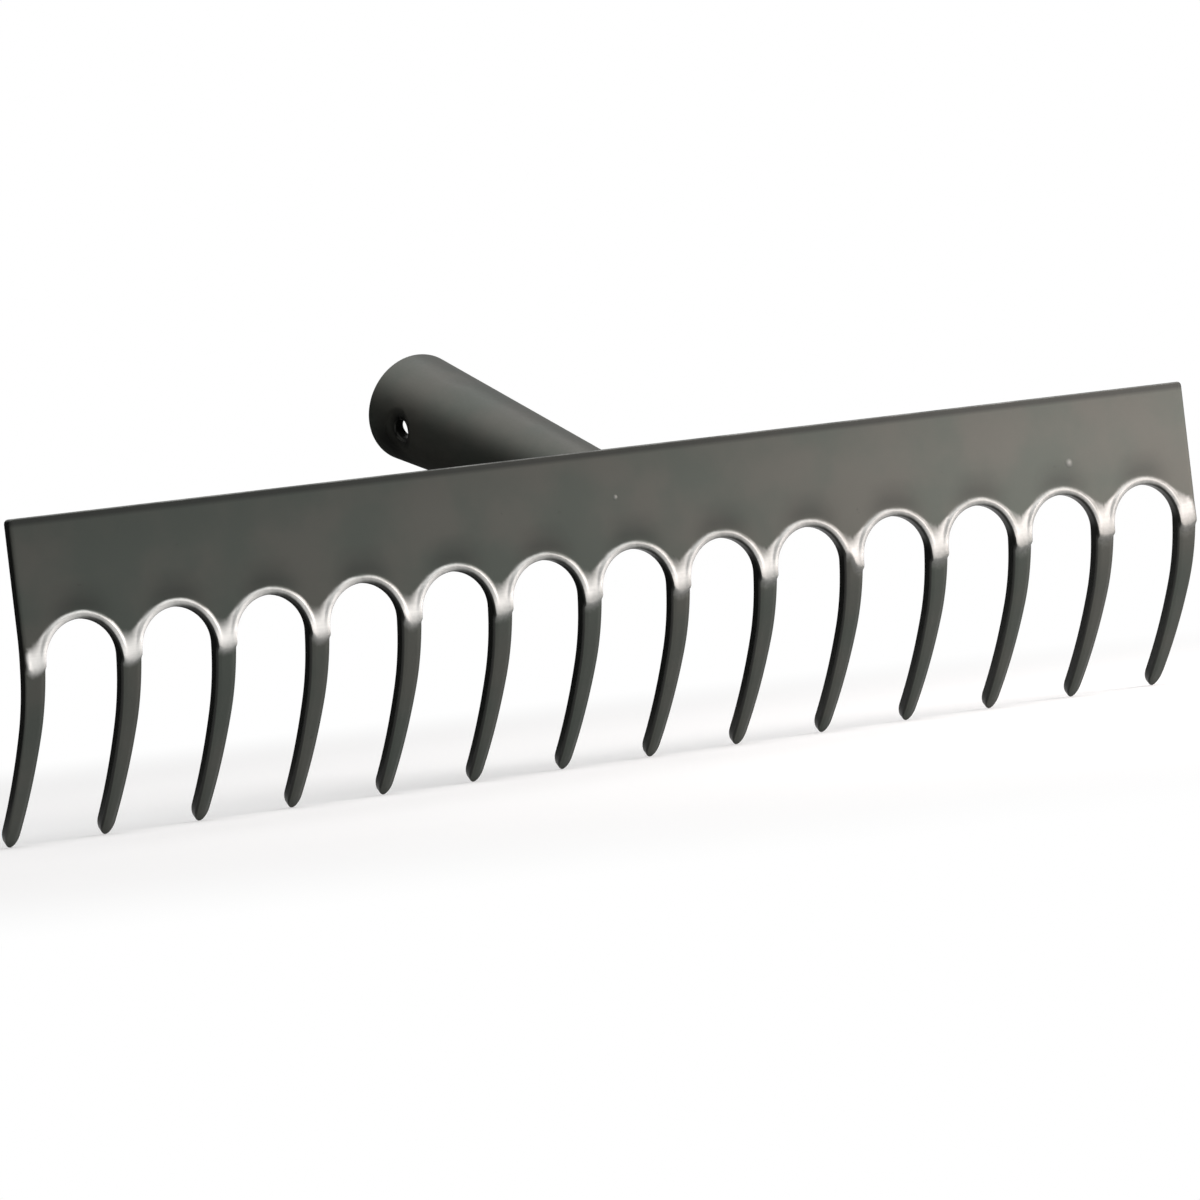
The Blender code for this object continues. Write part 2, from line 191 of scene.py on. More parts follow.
class SocketSizes(PropertyGroup):
    """Lengths of the handle socket and its weld."""

    length: FloatProperty(
        name="Length", description="From the plate to the mouth, along the axis",
        default=112.0 * MM, unit="LENGTH")
    mouth_radius: FloatProperty(
        name="Mouth radius", description="Outer radius at the mouth",
        default=15.79 * MM, unit="LENGTH")
    neck_radius: FloatProperty(
        name="Neck radius", description="Outer radius at the plate",
        default=10.2 * MM, unit="LENGTH")
    wall: FloatProperty(
        name="Wall", description="Thickness of the tube's wall", default=1.8 * MM, unit="LENGTH")
    tilt: FloatProperty(
        name="Tilt", description="How far the socket rises from level",
        default=math.radians(17.7), subtype="ANGLE")
    depth: FloatProperty(
        name="Depth", description="From the plate's top edge down to the socket's axis",
        default=15.6 * MM, unit="LENGTH")
    rim_rounding: FloatProperty(
        name="Rim rounding", description="Radius of the mouth's edges",
        default=0.45 * MM, unit="LENGTH")
    hole_radius: FloatProperty(
        name="Nail hole", description="Radius of the nail hole", default=3.3 * MM, unit="LENGTH")
    hole_from_mouth: FloatProperty(
        name="Hole from mouth", description="From the mouth to the nail hole's middle",
        default=15.5 * MM, unit="LENGTH")
    hole_angle: FloatProperty(
        name="Hole angle", description="Round the tube from its top to the nail hole",
        default=math.radians(97), subtype="ANGLE")
    hole_dish_radius: FloatProperty(
        name="Dish radius", description="Radius of the dish that the punch left",
        default=6.9 * MM, unit="LENGTH")
    hole_dish_depth: FloatProperty(
        name="Dish depth", description="Depth of the dish at the hole's edge",
        default=1.3 * MM, unit="LENGTH")
    collar_depth: FloatProperty(
        name="Collar depth", description="From the tube's outside to the collar's end",
        default=4.3 * MM, unit="LENGTH")
    collar_wall: FloatProperty(
        name="Collar wall", description="Thickness of the collar round the hole",
        default=1.1 * MM, unit="LENGTH")
    dent_from_mouth: FloatProperty(
        name="Dent from mouth", description="From the mouth to the dent on top of the tube",
        default=23.7 * MM, unit="LENGTH")
    dent_angle: FloatProperty(
        name="Dent angle", description="Round the tube from its top to the dent",
        default=math.radians(5), subtype="ANGLE")
    dent_depth: FloatProperty(
        name="Dent depth", description="Depth of the dent", default=0.32 * MM, unit="LENGTH")
    weld_width: FloatProperty(
        name="Weld width", description="Width of the weld on the plate and on the tube",
        default=2.7 * MM, unit="LENGTH")
    weld_ripple: FloatProperty(
        name="Weld ripple", description="Height of the weld's ripples",
        default=0.16 * MM, unit="LENGTH")


class FinishColours(PropertyGroup):
    """Colours of the lacquer, the bright steel of the painted highlights and wear, and the studio."""

    head: FloatVectorProperty(
        name="Head lacquer", description="Lacquer on the plate and tines",
        default=(0.0560, 0.0600, 0.0545), subtype="COLOR", min=0, max=1)
    socket: FloatVectorProperty(
        name="Socket lacquer", description="Lacquer on the socket",
        default=(0.0695, 0.0720, 0.0635), subtype="COLOR", min=0, max=1)
    weld: FloatVectorProperty(
        name="Weld lacquer", description="Lacquer on the weld",
        default=(0.055, 0.054, 0.050), subtype="COLOR", min=0, max=1)
    # Painted highlight: this steel colour is painted where lips, roots and the top edge catch the
    # light, as well as where they are worn
    steel: FloatVectorProperty(
        name="Rubbed steel", description="Steel where the lacquer is rubbed through",
        default=(0.71, 0.71, 0.69), subtype="COLOR", min=0, max=1)
    floor: FloatVectorProperty(
        name="Floor", description="Paint on the studio floor",
        default=(0.8, 0.8, 0.8), subtype="COLOR", min=0, max=1)


def clipped(value):
    """The value, kept between 0 and 1."""
    return min(max(value, 0.0), 1.0)


def smooth_step(value):
    """Ease from 0 to 1 as value runs from 0 to 1."""
    value = clipped(value)
    return value * value * (3 - 2 * value)


def even_steps(start, end, count):
    """Evenly spaced values from start to end, both included."""
    return [start + (end - start) * step / count for step in range(count + 1)]


def rough(across, height, layer, scale):
    """Noise from -1 to 1 over the flat sheet, with a pattern of its own for each layer."""
    return noise.noise(Vector((across, height, layer)) * scale)


def new_object(name, mesh, material):
    """Turn a finished bmesh into an object with one material."""
    data = bpy.data.meshes.new(name)
    mesh.to_mesh(data)
    mesh.free()
    data.materials.append(material)
    made = bpy.data.objects.new(name, data)
    bpy.context.scene.collection.objects.link(made)
    return made


def new_piece(name, mesh, body, material):
    """Turn a finished bmesh into a smooth object that rides on a body of the frame."""
    piece = new_object(name, mesh, material)
    piece.data.shade_smooth()
    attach(piece, body)
    return piece


# The tongue in which each root ends: how far its height varies, and the ranges from which its
# point and the climb of its two sides are drawn. Its place across is in half tines
ROOT_SCATTER = 0.4 * MM
ROOT_POINT = (-0.6, -0.15)
ROOT_LEFT_CLIMB = (1.5 * MM, 5.0 * MM)
ROOT_RIGHT_CLIMB = (0.5 * MM, 1.4 * MM)

# How far to the side a root is shaped, how far up its end may climb, and the one root that
# the press left slanted, with its point and its two climbs
ROOT_REACH = 1.2
ROOT_CLIMB = 4.0 * MM
SLANTED_ROOT = 9
SLANTED_ROOT_SHAPE = (0.5, 4.0 * MM, 0.3 * MM)

# A root's crest stands out from the plate by a share of the lip's height at most. Below it the
# tine's front is crowned: its rim is sunk by a share of its rise, and rises to full height
# over the crown's width
CREST_LIP_SHARE = 0.8
ROOT_SWELL_POWER = 1.5
RIM_DROP = 0.5
CROWN_WIDTH = 1.7 * MM

# The lip: how uneven its height is, where its slope starts at the gap's edge, the lengths over
# which two lips join at a root and fade out at its end, and how much a lip adds to a root
LIP_UNEVEN = 0.12
LIP_NOISE_SCALE = 120
LIP_EDGE_START = 0.1
LIP_JOIN = 8.0 * MM
LIP_END_FADE = 2.0 * MM
LIP_ON_ROOT = 0.25

# The relief fades out towards the tip over this many tip lengths
RELIEF_FADE = 1.5

# The hollow over an arch: how far it lies from the lip, how wide it is, half its length, and
# the lengths over which it fades at its ends and above a root
HOLLOW_FROM_LIP = 1.4 * MM
HOLLOW_WIDTH = 3.4 * MM
HOLLOW_HALF_LENGTH = 12.65 * MM
HOLLOW_END_FADE = 11.0 * MM
HOLLOW_ROOT_FADE = 6.0 * MM

# Layers of the noise, one for each use, and the scale of the painted highlight's patterns
LIP_LAYER = 0.0
HIGHLIGHT_LAYER = 0.01
TOP_LAYER = 0.02
HIGHLIGHT_SCALE = 200
TOP_EDGE_HIGHLIGHT_SCALE = 90

# Painted highlight and wear of a lip: how bright it is painted, how far that reaches from the
# gap's edge, how it wanders and fades, where the slope to the gap ends, and how much less that
# slope gets, with the further loss on the left, which stays in shade
LIP_WEAR_AND_HIGHLIGHT = 0.57
LIP_HIGHLIGHT_REACH = 1.6 * MM
LIP_HIGHLIGHT_WANDER = 0.3 * MM
LIP_HIGHLIGHT_FADE = 0.9 * MM
SLOPE_START = 0.3 * MM
SLOPE_FADE = 0.7 * MM
SLOPE_LOSS = 0.10
LEFT_SLOPE_LOSS = 0.39

# The painted highlight and wear of a root is a patch. Its start is above the foot of the
# arches, and the fade runs down from there. A gain is what the last root has more than the first
PATCH_START = 7.2 * MM
PATCH_START_GAIN = 3.6 * MM
PATCH_WANDER = 0.8 * MM
PATCH_FADE = 5.0 * MM
PATCH_FADE_GAIN = 1.5 * MM

# The patch starts higher to the sides of its point, which is in half tines from the middle,
# up to a limit that is lower on the left
PATCH_POINT = -0.35
PATCH_CLIMB = 3.0 * MM
PATCH_CLIMB_LIMIT = 6.0 * MM
LEFT_LIMIT_LOSS = 2.5 * MM

# The patch reaches further in from the gap's edge lower down, and leaves the left rim dark,
# as painted shade
PATCH_REACH = 1.7 * MM
PATCH_REACH_GAIN = 3.6 * MM
PATCH_WIDENS_BELOW = 9.5 * MM
PATCH_WIDENS_GAIN = 1.0 * MM
PATCH_WIDENS_OVER = 6.0 * MM
PATCH_SIDE_FADE = 1.8 * MM
LEFT_RIM = 0.3 * MM
LEFT_RIM_FADE = 0.35 * MM

# The painted highlight and wear stop at a root's end, further down and more slowly from the
# first root to the last. The last root's painted highlight is also weaker than the first's
END_SHIFT = 0.1 * MM
END_SHIFT_GAIN = 0.3 * MM
END_FADE = 4.2 * MM
HIGHLIGHT_LOSS = 0.75
HIGHLIGHT_LOSS_EASE = 0.25

# The left of a tine, which is the right of a gap: how far the middle of the gap counts as it,
# and over which width it fades. Then the painted shade on the rim there, the painted shade
# line under the top edge, the painted highlight and wear of the edge itself, and how strong the
# painted shade in a hollow is
LEFT_AT_MIDDLE = 0.3
LEFT_FADE = 8.5 * MM
RIM_SHADE_WIDTH = 0.45 * MM
RIM_SHADE_FADE = 0.3 * MM
TOP_SHADE_DEPTH = 1.4 * MM
TOP_SHADE_FADE = 1.0 * MM
TOP_EDGE_HIGHLIGHT = 0.22
TOP_EDGE_HIGHLIGHT_SCATTER = 0.14
HOLLOW_SHADE = 0.6

# Points in this share of the rounding, from the top edge down, count as the edge's face
TOP_FACE_SHARE = 0.9


class Blank:
    """The flat sheet that the head is bent from: X across, Y up from the top edge, Z to the front."""

    def __init__(self, sizes):
        self.count = sizes.tine_count
        self.pitch = sizes.tine_pitch
        self.half_root = sizes.root_width / 2
        self.half_tip = sizes.tip_width / 2
        self.tip_length = sizes.tip_length
        self.tip_thinning = sizes.tip_thinning
        self.thickness = sizes.thickness
        self.rounding = sizes.edge_rounding
        self.corner_radius = sizes.corner_radius
        self.arch_radius = self.pitch / 2 - self.half_root
        self.spring = -(sizes.web_height + self.arch_radius)
        self.end = self.spring - sizes.tine_length
        self.shoulder = self.end + self.tip_length
        self.bend_depth = sizes.bend_depth
        self.root_radius = sizes.bend_root_radius
        self.root_angle = sizes.bend_root_angle
        self.tip_radius = sizes.bend_tip_radius
        self.lip_height = sizes.lip_height
        self.lip_crest = sizes.lip_crest
        self.lip_width = sizes.lip_width
        self.root_rise = sizes.root_rise
        self.tine_rise = sizes.tine_rise
        self.root_top = self.spring + sizes.root_above
        self.root_bottom = self.spring - sizes.root_below
        self.root_drift = sizes.root_drift
        self.root_fall = sizes.root_fall
        self.hollow_depth = sizes.hollow_depth
        self.rim = []
        self.spine = []
        self.roots = []
        self.lay_out_arch()
        self.lay_out_tine()
        self.shape_roots()

    def lay_out_arch(self):
        """Pair points on a quarter of an arch with points on the top edge and over the tine."""
        gap = self.pitch / 2
        corner = math.atan2(gap, -self.spring)
        angles = even_steps(0, corner, CROWN_COLUMNS)
        angles += even_steps(corner, math.pi / 2, FLANK_COLUMNS)[1:]
        for angle in angles:
            across = gap - self.arch_radius * math.sin(angle)
            self.rim.append((across, self.spring + self.arch_radius * math.cos(angle)))
            if len(self.rim) <= CROWN_COLUMNS:
                self.spine.append((gap + self.spring * math.tan(angle), 0.0))
            else:
                self.spine.append((0.0, self.spring + gap / math.tan(angle)))

    def lay_out_tine(self):
        """Pair points down the side of a tine with points on its middle line."""
        root_end = self.spring - ROOT_ZONE_LENGTH
        heights = even_steps(self.spring, root_end, round(ROOT_ZONE_LENGTH / ROOT_COLUMN_LENGTH))
        rest = round((root_end - self.shoulder) / TINE_COLUMN_LENGTH)
        heights += even_steps(root_end, self.shoulder, rest)[1:]
        for height in heights[1:]:
            self.rim.append((self.half_width(height), height))
            self.spine.append((0.0, height))
        for angle in even_steps(0, math.pi / 2, TIP_COLUMNS)[1:]:
            down = self.tip_length * math.sin(angle)
            self.rim.append((self.half_tip * math.cos(angle), self.shoulder - down))
            self.spine.append((0.0, self.shoulder - down / 2))

    def shape_roots(self):
        """Settle the tongue in which each root ends: its point, and how its two sides climb."""
        dice = random.Random(SEED)
        for index in range(self.count):
            height = self.root_bottom - self.root_drift * index / (self.count - 1)
            height += dice.uniform(-ROOT_SCATTER, ROOT_SCATTER)
            shape = [dice.uniform(*limits)
                     for limits in (ROOT_POINT, ROOT_LEFT_CLIMB, ROOT_RIGHT_CLIMB)]
            if index == SLANTED_ROOT:
                shape = SLANTED_ROOT_SHAPE
            self.roots.append((height, *shape))

    def half_width(self, height):
        """Half the width of a tine at a height of the sheet."""
        share = clipped((self.spring - height) / (self.spring - self.shoulder))
        return self.half_root + (self.half_tip - self.half_root) * share

    def tine_centre(self, index):
        """X of a tine's middle line."""
        return (index - (self.count - 1) / 2) * self.pitch

    def row_share(self, row, length):
        """Where a row of points lies between the rim and the middle line, as a share."""
        spacing = min(LIP_ROW_SPACING, (LIP_SHARE * length - FIRST_ROW) / (LIP_ROWS - 1))
        lip_end = FIRST_ROW + spacing * (LIP_ROWS - 1)
        if row == 0:
            return 0.0
        if row <= LIP_ROWS:
            return (FIRST_ROW + spacing * (row - 1)) / length
        share = (row - LIP_ROWS) / FIELD_ROWS
        spread = smooth_step((length - self.half_root) / self.arch_radius)
        power = 1 + FIELD_ROW_SPREAD * spread
        return (lip_end + (length - lip_end) * share ** power) / length

    def inner_point(self, column, row):
        """A point of half a tine with the half of the arch beside it."""
        return self.between(self.rim[column], self.spine[column], row)

    def outer_point(self, column, row):
        """A point of the outer half of an end tine, which has the plate's straight end above it."""
        spine = self.spine[column + CROWN_COLUMNS]
        if spine[1] <= self.spring:
            return self.between(self.rim[column + CROWN_COLUMNS], spine, row)
        if row == 0:
            return (self.half_root, spine[1])
        clear = self.half_root - CORNER_CLEAR * self.corner_radius
        return (clear * (LIP_ROWS + FIELD_ROWS - row) / (LIP_ROWS + FIELD_ROWS - 1), spine[1])

    def between(self, rim, spine, row):
        """The point of one row on the line from the rim to the middle line."""
        length = math.dist(rim, spine)
        share = self.row_share(row, length)
        return (rim[0] + (spine[0] - rim[0]) * share, rim[1] + (spine[1] - rim[1]) * share)

    def gap_offset(self, across):
        """How far to the right of the nearest gap's middle a point lies."""
        place = across / self.pitch + (self.count - 2) / 2
        return (place - min(max(round(place), 0), self.count - 2)) * self.pitch

    def gap_distance(self, across, height):
        """How far a point of the sheet lies from the nearest gap between tines."""
        aside = self.gap_offset(across)
        if height >= self.spring:
            return math.hypot(aside, height - self.spring) - self.arch_radius
        return abs(aside) - (self.pitch / 2 - self.half_width(height))

    def nearest_tine(self, across):
        """The tine under a point, and how far to its side the point lies, in half tines."""
        index = min(max(round(across / self.pitch + (self.count - 1) / 2), 0), self.count - 1)
        return index, (across - self.tine_centre(index)) / self.half_root

    def row_place(self, across):
        """Where the tine under a point stands in the row: 0 for the first, 1 for the last."""
        return self.nearest_tine(across)[0] / (self.count - 1)

    def set_back(self, height):
        """How far the bend has taken the sheet back at a height."""
        run = max(0.0, -self.bend_depth - height)
        return run * run / (2 * self.root_radius)

    def root_end(self, across):
        """Height at which the root under a point ends, which varies from tine to tine."""
        index, aside = self.nearest_tine(across)
        height, point, left, right = self.roots[index]
        away = min(max(aside, -ROOT_REACH), ROOT_REACH) - point
        return height + min((left if away < 0 else right) * away * away, ROOT_CLIMB)

    def lip(self, distance, across, height):
        """Height of the lip round an arch at a distance from its edge."""
        uneven = 1 + LIP_UNEVEN * rough(across, height, LIP_LAYER, LIP_NOISE_SCALE)
        if distance < self.lip_crest:
            shape = smooth_step(LIP_EDGE_START + (1 - LIP_EDGE_START) * distance / self.lip_crest)
        else:
            run = (distance - self.lip_crest) / (self.lip_width - self.lip_crest)
            joined = smooth_step((self.spring - height) / LIP_JOIN + 1)
            shape = max(1 - smooth_step(run), joined)
        return self.lip_height * uneven * shape

    def root(self, across, height):
        """Height of the swollen root of a tine, and of the tine's front below it."""
        end = self.root_end(across)
        crest = min(self.root_rise, CREST_LIP_SHARE * self.lip_height + self.set_back(end))
        if height >= end:
            run = clipped((self.root_top - height) / (self.root_top - end))
            return crest * run ** ROOT_SWELL_POWER
        fall = smooth_step((end - height) / self.root_fall)
        crown = smooth_step(self.gap_distance(across, height) / CROWN_WIDTH)
        front = self.tine_rise * ((1 + RIM_DROP) * crown - RIM_DROP)
        return crest + (front - crest) * fall

    def hollow(self, across, height):
        """The faint hollow in the plate over each arch, from 0 to 1."""
        from_lip = self.gap_distance(across, height) - self.lip_width
        reach = (from_lip - HOLLOW_FROM_LIP) / HOLLOW_WIDTH
        over = smooth_step((HOLLOW_HALF_LENGTH - abs(self.gap_offset(across))) / HOLLOW_END_FADE)
        clear = smooth_step((height - self.root_top) / HOLLOW_ROOT_FADE)
        return over * math.exp(-reach * reach) * clear

    def relief(self, across, height):
        """How far the front stands out from the flat sheet at one point."""
        distance = self.gap_distance(across, height)
        swell = self.root(across, height)
        fade = smooth_step((height - self.root_end(across)) / LIP_END_FADE + 1)
        lip = self.lip(distance, across, height) * fade
        tip = smooth_step((height - self.end) / (RELIEF_FADE * self.tip_length))
        hollow = self.hollow_depth * self.hollow(across, height)
        return (max(swell, lip) + LIP_ON_ROOT * min(swell, lip) - hollow) * tip

    def lip_wear_and_highlight(self, distance, across, wander):
        """Painted highlight and wear on a lip: less on its slope to the gap, least on the left."""
        slope = 1 - smooth_step((distance - SLOPE_START) / SLOPE_FADE)
        crest = LIP_WEAR_AND_HIGHLIGHT - (SLOPE_LOSS + LEFT_SLOPE_LOSS * self.left_side(across)) * slope
        beyond = distance - LIP_HIGHLIGHT_REACH - LIP_HIGHLIGHT_WANDER * wander
        return crest * (1 - smooth_step(beyond / LIP_HIGHLIGHT_FADE))

    def root_wear_and_highlight(self, distance, across, height, wander):
        """Painted highlight and wear on a root.

        The patch starts higher, and fades more slowly, from the first root to the last.
        """
        place = self.row_place(across)
        aside = self.nearest_tine(across)[1]
        left = self.left_side(across)
        up = height - self.spring
        limit = PATCH_CLIMB_LIMIT - LEFT_LIMIT_LOSS * left
        climb = min(PATCH_CLIMB * (aside - PATCH_POINT) ** 2, limit)
        start = PATCH_START + PATCH_START_GAIN * place * place + PATCH_WANDER * wander + climb
        patch = clipped((start - up) / (PATCH_FADE + PATCH_FADE_GAIN * place))
        lower = (PATCH_WIDENS_BELOW + PATCH_WIDENS_GAIN * place - up) / PATCH_WIDENS_OVER
        reach = PATCH_REACH + PATCH_REACH_GAIN * smooth_step(lower)
        patch *= 1 - smooth_step((distance - reach) / PATCH_SIDE_FADE)
        return patch * (1 - left * (1 - smooth_step((distance - LEFT_RIM) / LEFT_RIM_FADE)))

    def wear_and_highlight(self, across, height):
        """Painted highlight and wear at one point of the front, from 0 to 1."""
        distance = self.gap_distance(across, height)
        wander = rough(across, height, HIGHLIGHT_LAYER, HIGHLIGHT_SCALE)
        kept = 1 - self.lip_wear_and_highlight(distance, across, wander)
        kept *= 1 - self.root_wear_and_highlight(distance, across, height, wander)
        place = self.row_place(across)
        above = height - self.root_end(across) + END_SHIFT + END_SHIFT_GAIN * place
        above_end = clipped(0.5 + above / (END_FADE * (1 + place)))
        highlight_gain = 1 - place * (HIGHLIGHT_LOSS - HIGHLIGHT_LOSS_EASE * place)
        return highlight_gain * (1 - kept) * above_end

    def left_side(self, across):
        """1 on the left of a tine and of the plate between two gaps, 0 on the right."""
        return clipped(LEFT_AT_MIDDLE + self.gap_offset(across) / LEFT_FADE)

    def rim_shade(self, across, height):
        """Painted shade on the front's rim beside a gap, from 0 to 1."""
        beyond = self.gap_distance(across, height) - RIM_SHADE_WIDTH
        return self.left_side(across) * (1 - smooth_step(beyond / RIM_SHADE_FADE))

    def top_shade(self, height):
        """A line of painted shade just under the plate's top edge, from 0 to 1."""
        return 1 - smooth_step((-height - TOP_SHADE_DEPTH) / TOP_SHADE_FADE)

    def top_edge_wear_and_highlight(self, across):
        """Painted highlight and wear on the plate's top edge at one point, from 0 to 1."""
        return TOP_EDGE_HIGHLIGHT + TOP_EDGE_HIGHLIGHT_SCATTER * rough(across, 0, TOP_LAYER, TOP_EDGE_HIGHLIGHT_SCALE)

    def bent(self, point):
        """A point of the flat sheet, moved to its place on the bent head."""
        run = -self.bend_depth - point.y
        if run <= 0:
            return point.copy()
        first_run = self.root_radius * self.root_angle
        if run <= first_run:
            angle = run / self.root_radius
            back = self.root_radius * (1 - math.cos(angle))
            down = self.root_radius * math.sin(angle)
        else:
            angle = self.root_angle + (run - first_run) / self.tip_radius
            back = self.root_radius * (1 - math.cos(self.root_angle))
            back += self.tip_radius * (math.cos(self.root_angle) - math.cos(angle))
            down = self.root_radius * math.sin(self.root_angle)
            down += self.tip_radius * (math.sin(angle) - math.sin(self.root_angle))
        height = -self.bend_depth - down - point.z * math.sin(angle)
        return Vector((point.x, height, point.z * math.cos(angle) - back))

    def thinned(self, height):
        """How much of the sheet's back half is left at a height: it thins towards the tip."""
        share = clipped((self.shoulder - height) / self.tip_length)
        return 1 - self.tip_thinning * share * share


def add_half_tine(mesh, centre, side, columns, point_at):
    """Lay one grid of faces over half a tine and the plate above it."""
    rows = LIP_ROWS + FIELD_ROWS
    made = bmesh.ops.create_grid(mesh, x_segments=columns, y_segments=rows, size=0.5)
    for vert in made["verts"]:
        column = round((vert.co.x + 0.5) * columns)
        row = round((vert.co.y + 0.5) * rows)
        across, height = point_at(column, row)
        vert.co = (centre + side * across, height, 0)


def flat_sheet(blank):
    """The whole blank as one flat layer of faces."""
    mesh = bmesh.new()
    inner_columns = len(blank.rim) - 1
    outer_columns = inner_columns - CROWN_COLUMNS
    for index in range(blank.count):
        centre = blank.tine_centre(index)
        for side, last in ((-1, 0), (1, blank.count - 1)):
            if index == last:
                add_half_tine(mesh, centre, side, outer_columns, blank.outer_point)
            else:
                add_half_tine(mesh, centre, side, inner_columns, blank.inner_point)
    bmesh.ops.remove_doubles(mesh, verts=mesh.verts, dist=MERGE_DISTANCE)
    bmesh.ops.recalc_face_normals(mesh, faces=mesh.faces)
    return mesh


def bevel_edges(mesh, edges, offset):
    """Round some edges of a bmesh."""
    bmesh.ops.bevel(
        mesh, geom=edges, offset=offset, offset_type="OFFSET", affect="EDGES",
        segments=BEVEL_SEGMENTS, profile=0.5, material=-1)


def round_rims(mesh, offset):
    """Round every edge of a bmesh that turns more sharply than a rim does."""
    rims = [edge for edge in mesh.edges if edge.calc_face_angle(0.0) > RIM_ANGLE]
    bevel_edges(mesh, rims, offset)


def thicken_sheet(mesh, blank):
    """Give the flat layer its thickness, its rounded edges and its rows beside them."""
    bmesh.ops.solidify(mesh, geom=mesh.faces[:], thickness=blank.thickness)
    heights = [vert.co.z for vert in mesh.verts]
    middle = (min(heights) + max(heights)) / 2
    bmesh.ops.translate(mesh, verts=mesh.verts, vec=(0, 0, -middle))
    half_length = blank.tine_centre(blank.count - 1) + blank.half_root
    corners = [edge for edge in mesh.edges if all(
        abs(abs(vert.co.x) - half_length) < MERGE_DISTANCE and abs(vert.co.y) < MERGE_DISTANCE
        for vert in edge.verts)]
    bevel_edges(mesh, corners, blank.corner_radius)
    round_rims(mesh, blank.rounding)
    inner = blank.thickness / 2 - 2 * blank.rounding
    cuts = [((0, 0, level), (0, 0, 1)) for level in (-inner, inner)]
    cuts += [((0, -depth * blank.rounding, 0), (0, 1, 0)) for depth in TOP_EDGE_ROWS]
    for place, way in cuts:
        everything = mesh.verts[:] + mesh.edges[:] + mesh.faces[:]
        bmesh.ops.bisect_plane(
            mesh, geom=everything, dist=MERGE_DISTANCE / 10, plane_co=place, plane_no=way)


def form_sheet(mesh, blank):
    """Raise the lips and roots on the front, mark painted light and wear on the points, and bend
    the tines.

    The marks run from 0 to 1: painted highlight and wear, painted shade, and painted shade on
    the walls and rims.
    """
    wear_and_highlight = mesh.verts.layers.float.new("wear_and_highlight")
    painted_shade = mesh.verts.layers.float.new("painted_shade")
    edge_shade = mesh.verts.layers.float.new("edge_shade")
    inner = blank.thickness / 2 - blank.rounding
    for vert in mesh.verts:
        across, height = vert.co.x, vert.co.y
        face = clipped((abs(vert.co.z) - inner) / blank.rounding)
        # Painted shade on the walls of the sheet
        vert[edge_shade] = 1 - face if height < -blank.rounding else 0.0
        if height > -TOP_FACE_SHARE * blank.rounding:
            # Painted highlight and wear on the top edge
            vert[wear_and_highlight] = blank.top_edge_wear_and_highlight(across)
        if vert.co.z < 0:
            vert.co.z *= blank.thinned(height)
        if face > 0 and vert.co.z > 0:
            # Painted highlight and wear on the lips and roots
            vert[wear_and_highlight] = max(vert[wear_and_highlight], face * blank.wear_and_highlight(across, height))
            # Painted shade in the hollows over the arches and under the top edge
            hollow = HOLLOW_SHADE * blank.hollow(across, height)
            vert[painted_shade] = max(hollow, blank.top_shade(height))
            # Painted shade on the rims to the left of the gaps
            vert[edge_shade] = max(vert[edge_shade], blank.rim_shade(across, height))
            vert.co.z += face * blank.relief(across, height)
    for vert in mesh.verts:
        vert.co = blank.bent(vert.co)


def make_plate_and_tines(sizes, material):
    """The stamping: plate, arches and tines in one piece."""
    blank = Blank(sizes)
    mesh = flat_sheet(blank)
    thicken_sheet(mesh, blank)
    form_sheet(mesh, blank)
    stand = Matrix.Translation((0, plate_middle(), HEAD_TOP))
    stand = stand @ Matrix.Rotation(math.pi / 2, 4, "X")
    bmesh.ops.transform(mesh, matrix=stand, verts=mesh.verts)
    bmesh.ops.recalc_face_normals(mesh, faces=mesh.faces)
    piece = new_piece("plate_and_tines", mesh, "root", material)
    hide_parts("rake_head")


# Half the width and half the length of the dent on top of the tube
DENT_HALF_WIDTH = 3.4 * MM
DENT_HALF_LENGTH = 5.2 * MM

# Painted shade round the nail hole: how far it reaches, and the oval of painted shade below
# it and nearer the mouth: the place of its middle, its half sizes and its strength
HOLE_SHADE_REACH = 4.0 * MM
SHADE_OVAL_ACROSS = 5.0 * MM
SHADE_OVAL_AHEAD = 6.0 * MM
SHADE_OVAL_HALF_WIDTH = 12.0 * MM
SHADE_OVAL_HALF_LENGTH = 10.0 * MM
SHADE_OVAL_STRENGTH = 0.9

# Length of the tube over which it is sheared so that its foot sits on the plate
FOOT_SHEAR = 30.0 * MM


